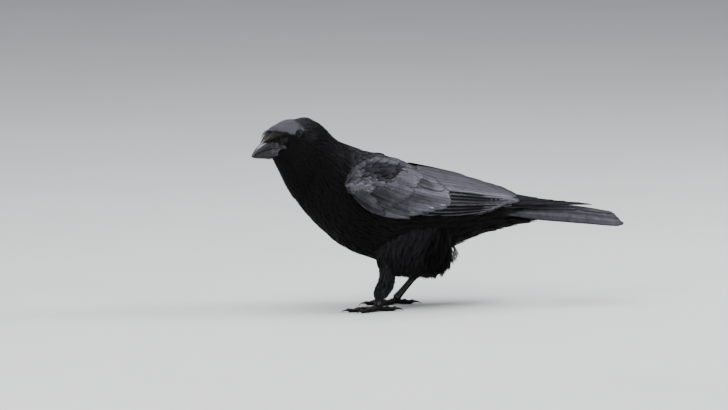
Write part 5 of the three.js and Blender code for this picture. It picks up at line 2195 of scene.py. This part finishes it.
@dataclass
class Foot:
    """The scutes and claws of one leg."""

    leg: Leg

    def beds(self) -> tuple[Array, Array, Array, Array]:
        """Where the scutes lie: their places, the ways they face and point, and their half sizes."""
        rows = []
        path, radius = self.leg.shank(SHANK_SCUTES)
        lie = unit(np.gradient(path, axis=0))
        for turn, wide, long, keep in ((0.0, 1.05, 0.95, slice(1, 14)), (1.25, 0.7, 0.8, slice(1, 14)),
                                       (-1.25, 0.7, 0.8, slice(1, 14)), (math.pi, 0.8, 0.85, slice(2, 14))):
            front = unit(np.cross((0.0, 1.0, 0.0), lie)) * math.cos(turn)
            out = front * (1 if front[5, 0] * math.cos(turn) < 0 else -1) + np.array((0, math.sin(turn), 0))
            step = np.linalg.norm(path[1] - path[0])
            size = np.stack([np.full(len(path), step * long), radius * wide * 0.95, 0.2 + radius * 0.09], -1)
            rows.append((path + out * (radius * 0.9)[:, None], out, lie, size, keep))
        for toe in TOES:
            path, radius = toe.line(self.leg.ground(), self.leg.side, toe.scutes)
            lie = np.broadcast_to(toe.way(self.leg.side), path.shape)
            up = np.broadcast_to((0.0, 0.0, 1.0), path.shape)
            along = np.full(len(path), 0.85 * toe.length / toe.scutes)
            size = np.stack([along, radius * 0.9, radius * 0.2], -1)
            rows.append((path + up * (radius * 0.8)[:, None], up, lie, size, slice(0, None)))
        place, out, lie, size = (np.concatenate([row[k][row[4]] for row in rows]) for k in range(4))
        return place, out - 0.16 * lie, lie, size

    def scutes(self, scale: Material) -> None:
        """The overlapping shields on the shank and toes."""
        tree = Growth("scutes")
        place, out, lie, size = self.beds()
        bed = mesh_object(f"bed_{self.leg.name}", place, np.zeros((0, 3), int),
                          values={"out": out, "lie": lie, "size": size / 1000})
        ball = tree.node("GeometryNodeMeshUVSphere", {}, {"Segments": 10, "Rings": 5, "Radius": 1.0})
        ball = tree.node("GeometryNodeSetShadeSmooth", {}, {"Geometry": ball})
        height = tree.node("ShaderNodeSeparateXYZ", {}, {0: tree.node("GeometryNodeInputPosition")}, "X")
        ball = tree.mark(ball, "rub", height * 0.45 + 0.35, "FLOAT")
        tree.plant(tree.given("Bed"), ball, tree.kept("size"))
        made = tree.grow(f"scutes_{self.leg.name}", bed, scale)
        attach(made, "root")

    def claws(self, horn: Material) -> None:
        """Four curved claws, ridged along the top."""
        for k, toe in enumerate(TOES):
            path, radius = toe.claw_line(self.leg.ground(), self.leg.side, CLAW_RINGS)
            level = np.broadcast_to(np.cross(toe.way(self.leg.side), (0, 0, 1)), path.shape)
            rings = pipe(path, level, np.stack([radius * 0.86, radius], -1), CLAW_SIDES, 0.02)
            points, faces = tube(rings)
            rub = np.repeat(ease(0.6, 1, np.linspace(0, 1, CLAW_RINGS)), CLAW_SIDES) * 0.6
            name = f"{self.leg.name}_{k + 1}"
            made = mesh_object(f"horn_claw_{name}", points, faces, horn,
                               values={"rub": np.concatenate([rub, [0.0, 0.6]])})
            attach(made, "root")
            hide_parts(f"claw_{name}")
        LOG.info("claws %s", self.leg.name)


# ---- Studio ----


@dataclass
class Studio:
    """A plain pale floor, soft light and the camera."""

    azimuth: float = math.radians(-14)
    elevation: float = math.radians(7)
    distance: float = 9.0
    frame_width: float = 0.8736
    aim_across: float = -0.0798
    aim_up: float = 0.1218
    floor_reach: float = 40.0
    sensor: float = 36.0

    def axes(self) -> tuple[Array, Array, Array]:
        """The camera's right, up and backward ways."""
        a, e = self.azimuth, self.elevation
        back = np.array([math.sin(a) * math.cos(e), -math.cos(a) * math.cos(e), math.sin(e)])
        right = np.array([math.cos(a), math.sin(a), 0.0])
        return right, np.cross(back, right), back

    def camera(self) -> None:
        """The camera, level and without shift."""
        right, up, back = self.axes()
        target = right * self.aim_across + up * self.aim_up
        data = bpy.data.cameras.new("camera")
        data.sensor_width = self.sensor
        data.lens = self.sensor * self.distance / self.frame_width
        data.clip_start, data.clip_end = 0.1, 60
        place = target + back * self.distance
        bpy.context.scene.camera = facing("camera", data, Vector(place), Vector(-back))

    def floor(self) -> None:
        """The floor, flat and wide."""
        reach = self.floor_reach
        points = np.array([(x, y, 0.0) for x, y in ((-1, -1), (1, -1), (1, 1), (-1, 1))]) * (reach, reach, 0)
        made = mesh_object("floor", points * 1000 - np.array(STAND.shift), np.array([(0, 1, 2, 3)]),
                           FloorFinish("floor").made())

    def lamp(self, name: str, place: tuple[float, float, float], aim: tuple[float, float, float],
             size: Pair, watts: float, colour: Colour) -> None:
        """A soft rectangular lamp."""
        data = bpy.data.lights.new(name, "AREA")
        data.shape, data.size, data.size_y = "RECTANGLE", *size
        data.energy, data.color = watts, colour
        facing(name, data, Vector(place), Vector(aim) - Vector(place))

    def lights(self) -> None:
        """A wide light above, a key from the front left, and a fill."""
        middle = (0.0, 0.0, 0.12)
        self.lamp("sky", (0.0, -0.1, 2.4), middle, (3.0, 2.6), 84, (0.95, 0.97, 1.0))
        self.lamp("key", (-1.5, -1.5, 1.7), middle, (1.1, 1.1), 40, (1.0, 0.985, 0.96))
        self.lamp("catch", (2.0, -0.25, 1.4), (-0.17, -0.03, 0.21), (0.7, 0.5), 34, (1.0, 1.0, 1.0))
        self.lamp("fill", (2.4, -2.2, 0.9), middle, (1.6, 1.2), 8, (0.95, 0.97, 1.0))
        world = bpy.data.worlds.new("studio")
        world.use_nodes = True
        world.node_tree.nodes["Background"].inputs["Color"].default_value = (0.86, 0.9, 1.0, 1)
        world.node_tree.nodes["Background"].inputs["Strength"].default_value = 0.32
        bpy.context.scene.world = world

    def build(self) -> None:
        """Sets up the studio."""
        self.camera()
        self.floor()
        self.lights()


def main() -> None:
    """Builds the bird piece by piece, then the studio."""
    logging.basicConfig(level=logging.INFO, format="%(message)s")
    plumage = PlumageFinish("plumage").made()
    flight = PlumageFinish("flight", barbs=110, shine=0.3).made()
    skin = SkinFinish("bare_skin").made()
    Skin().build(skin)
    body = BodyCoat()
    for part in (body.head, body.neck, body.back, body.breast, body.vent):
        part(plumage)
    for name, side in (("left", -1), ("right", 1)):
        wing = Wing(name, side)
        wing.flights(flight)
        wing.coverts(plumage)
    Tail().build(flight)
    for leg in LEGS:
        Trousers(leg).build(plumage)
    bristle = PlumageFinish("bristles", bloom=(0.16, 0.15, 0.136), metal=0.6, shine=0.5, barbs=12).made()
    NostrilTufts().build(bristle)
    Bristles().build(bristle)
    horn = HornFinish("horn").made()
    Bill().build(horn)
    wet = EyeFinish("eye").made()
    for name, side in (("left", 1), ("right", -1)):
        Eye(name, side).build(wet, skin)
    scale = ScaleFinish("scales").made()
    for leg in LEGS:
        Foot(leg).claws(horn)
        Foot(leg).scutes(scale)
    Studio().build()


if __name__ == "__main__":
    main()
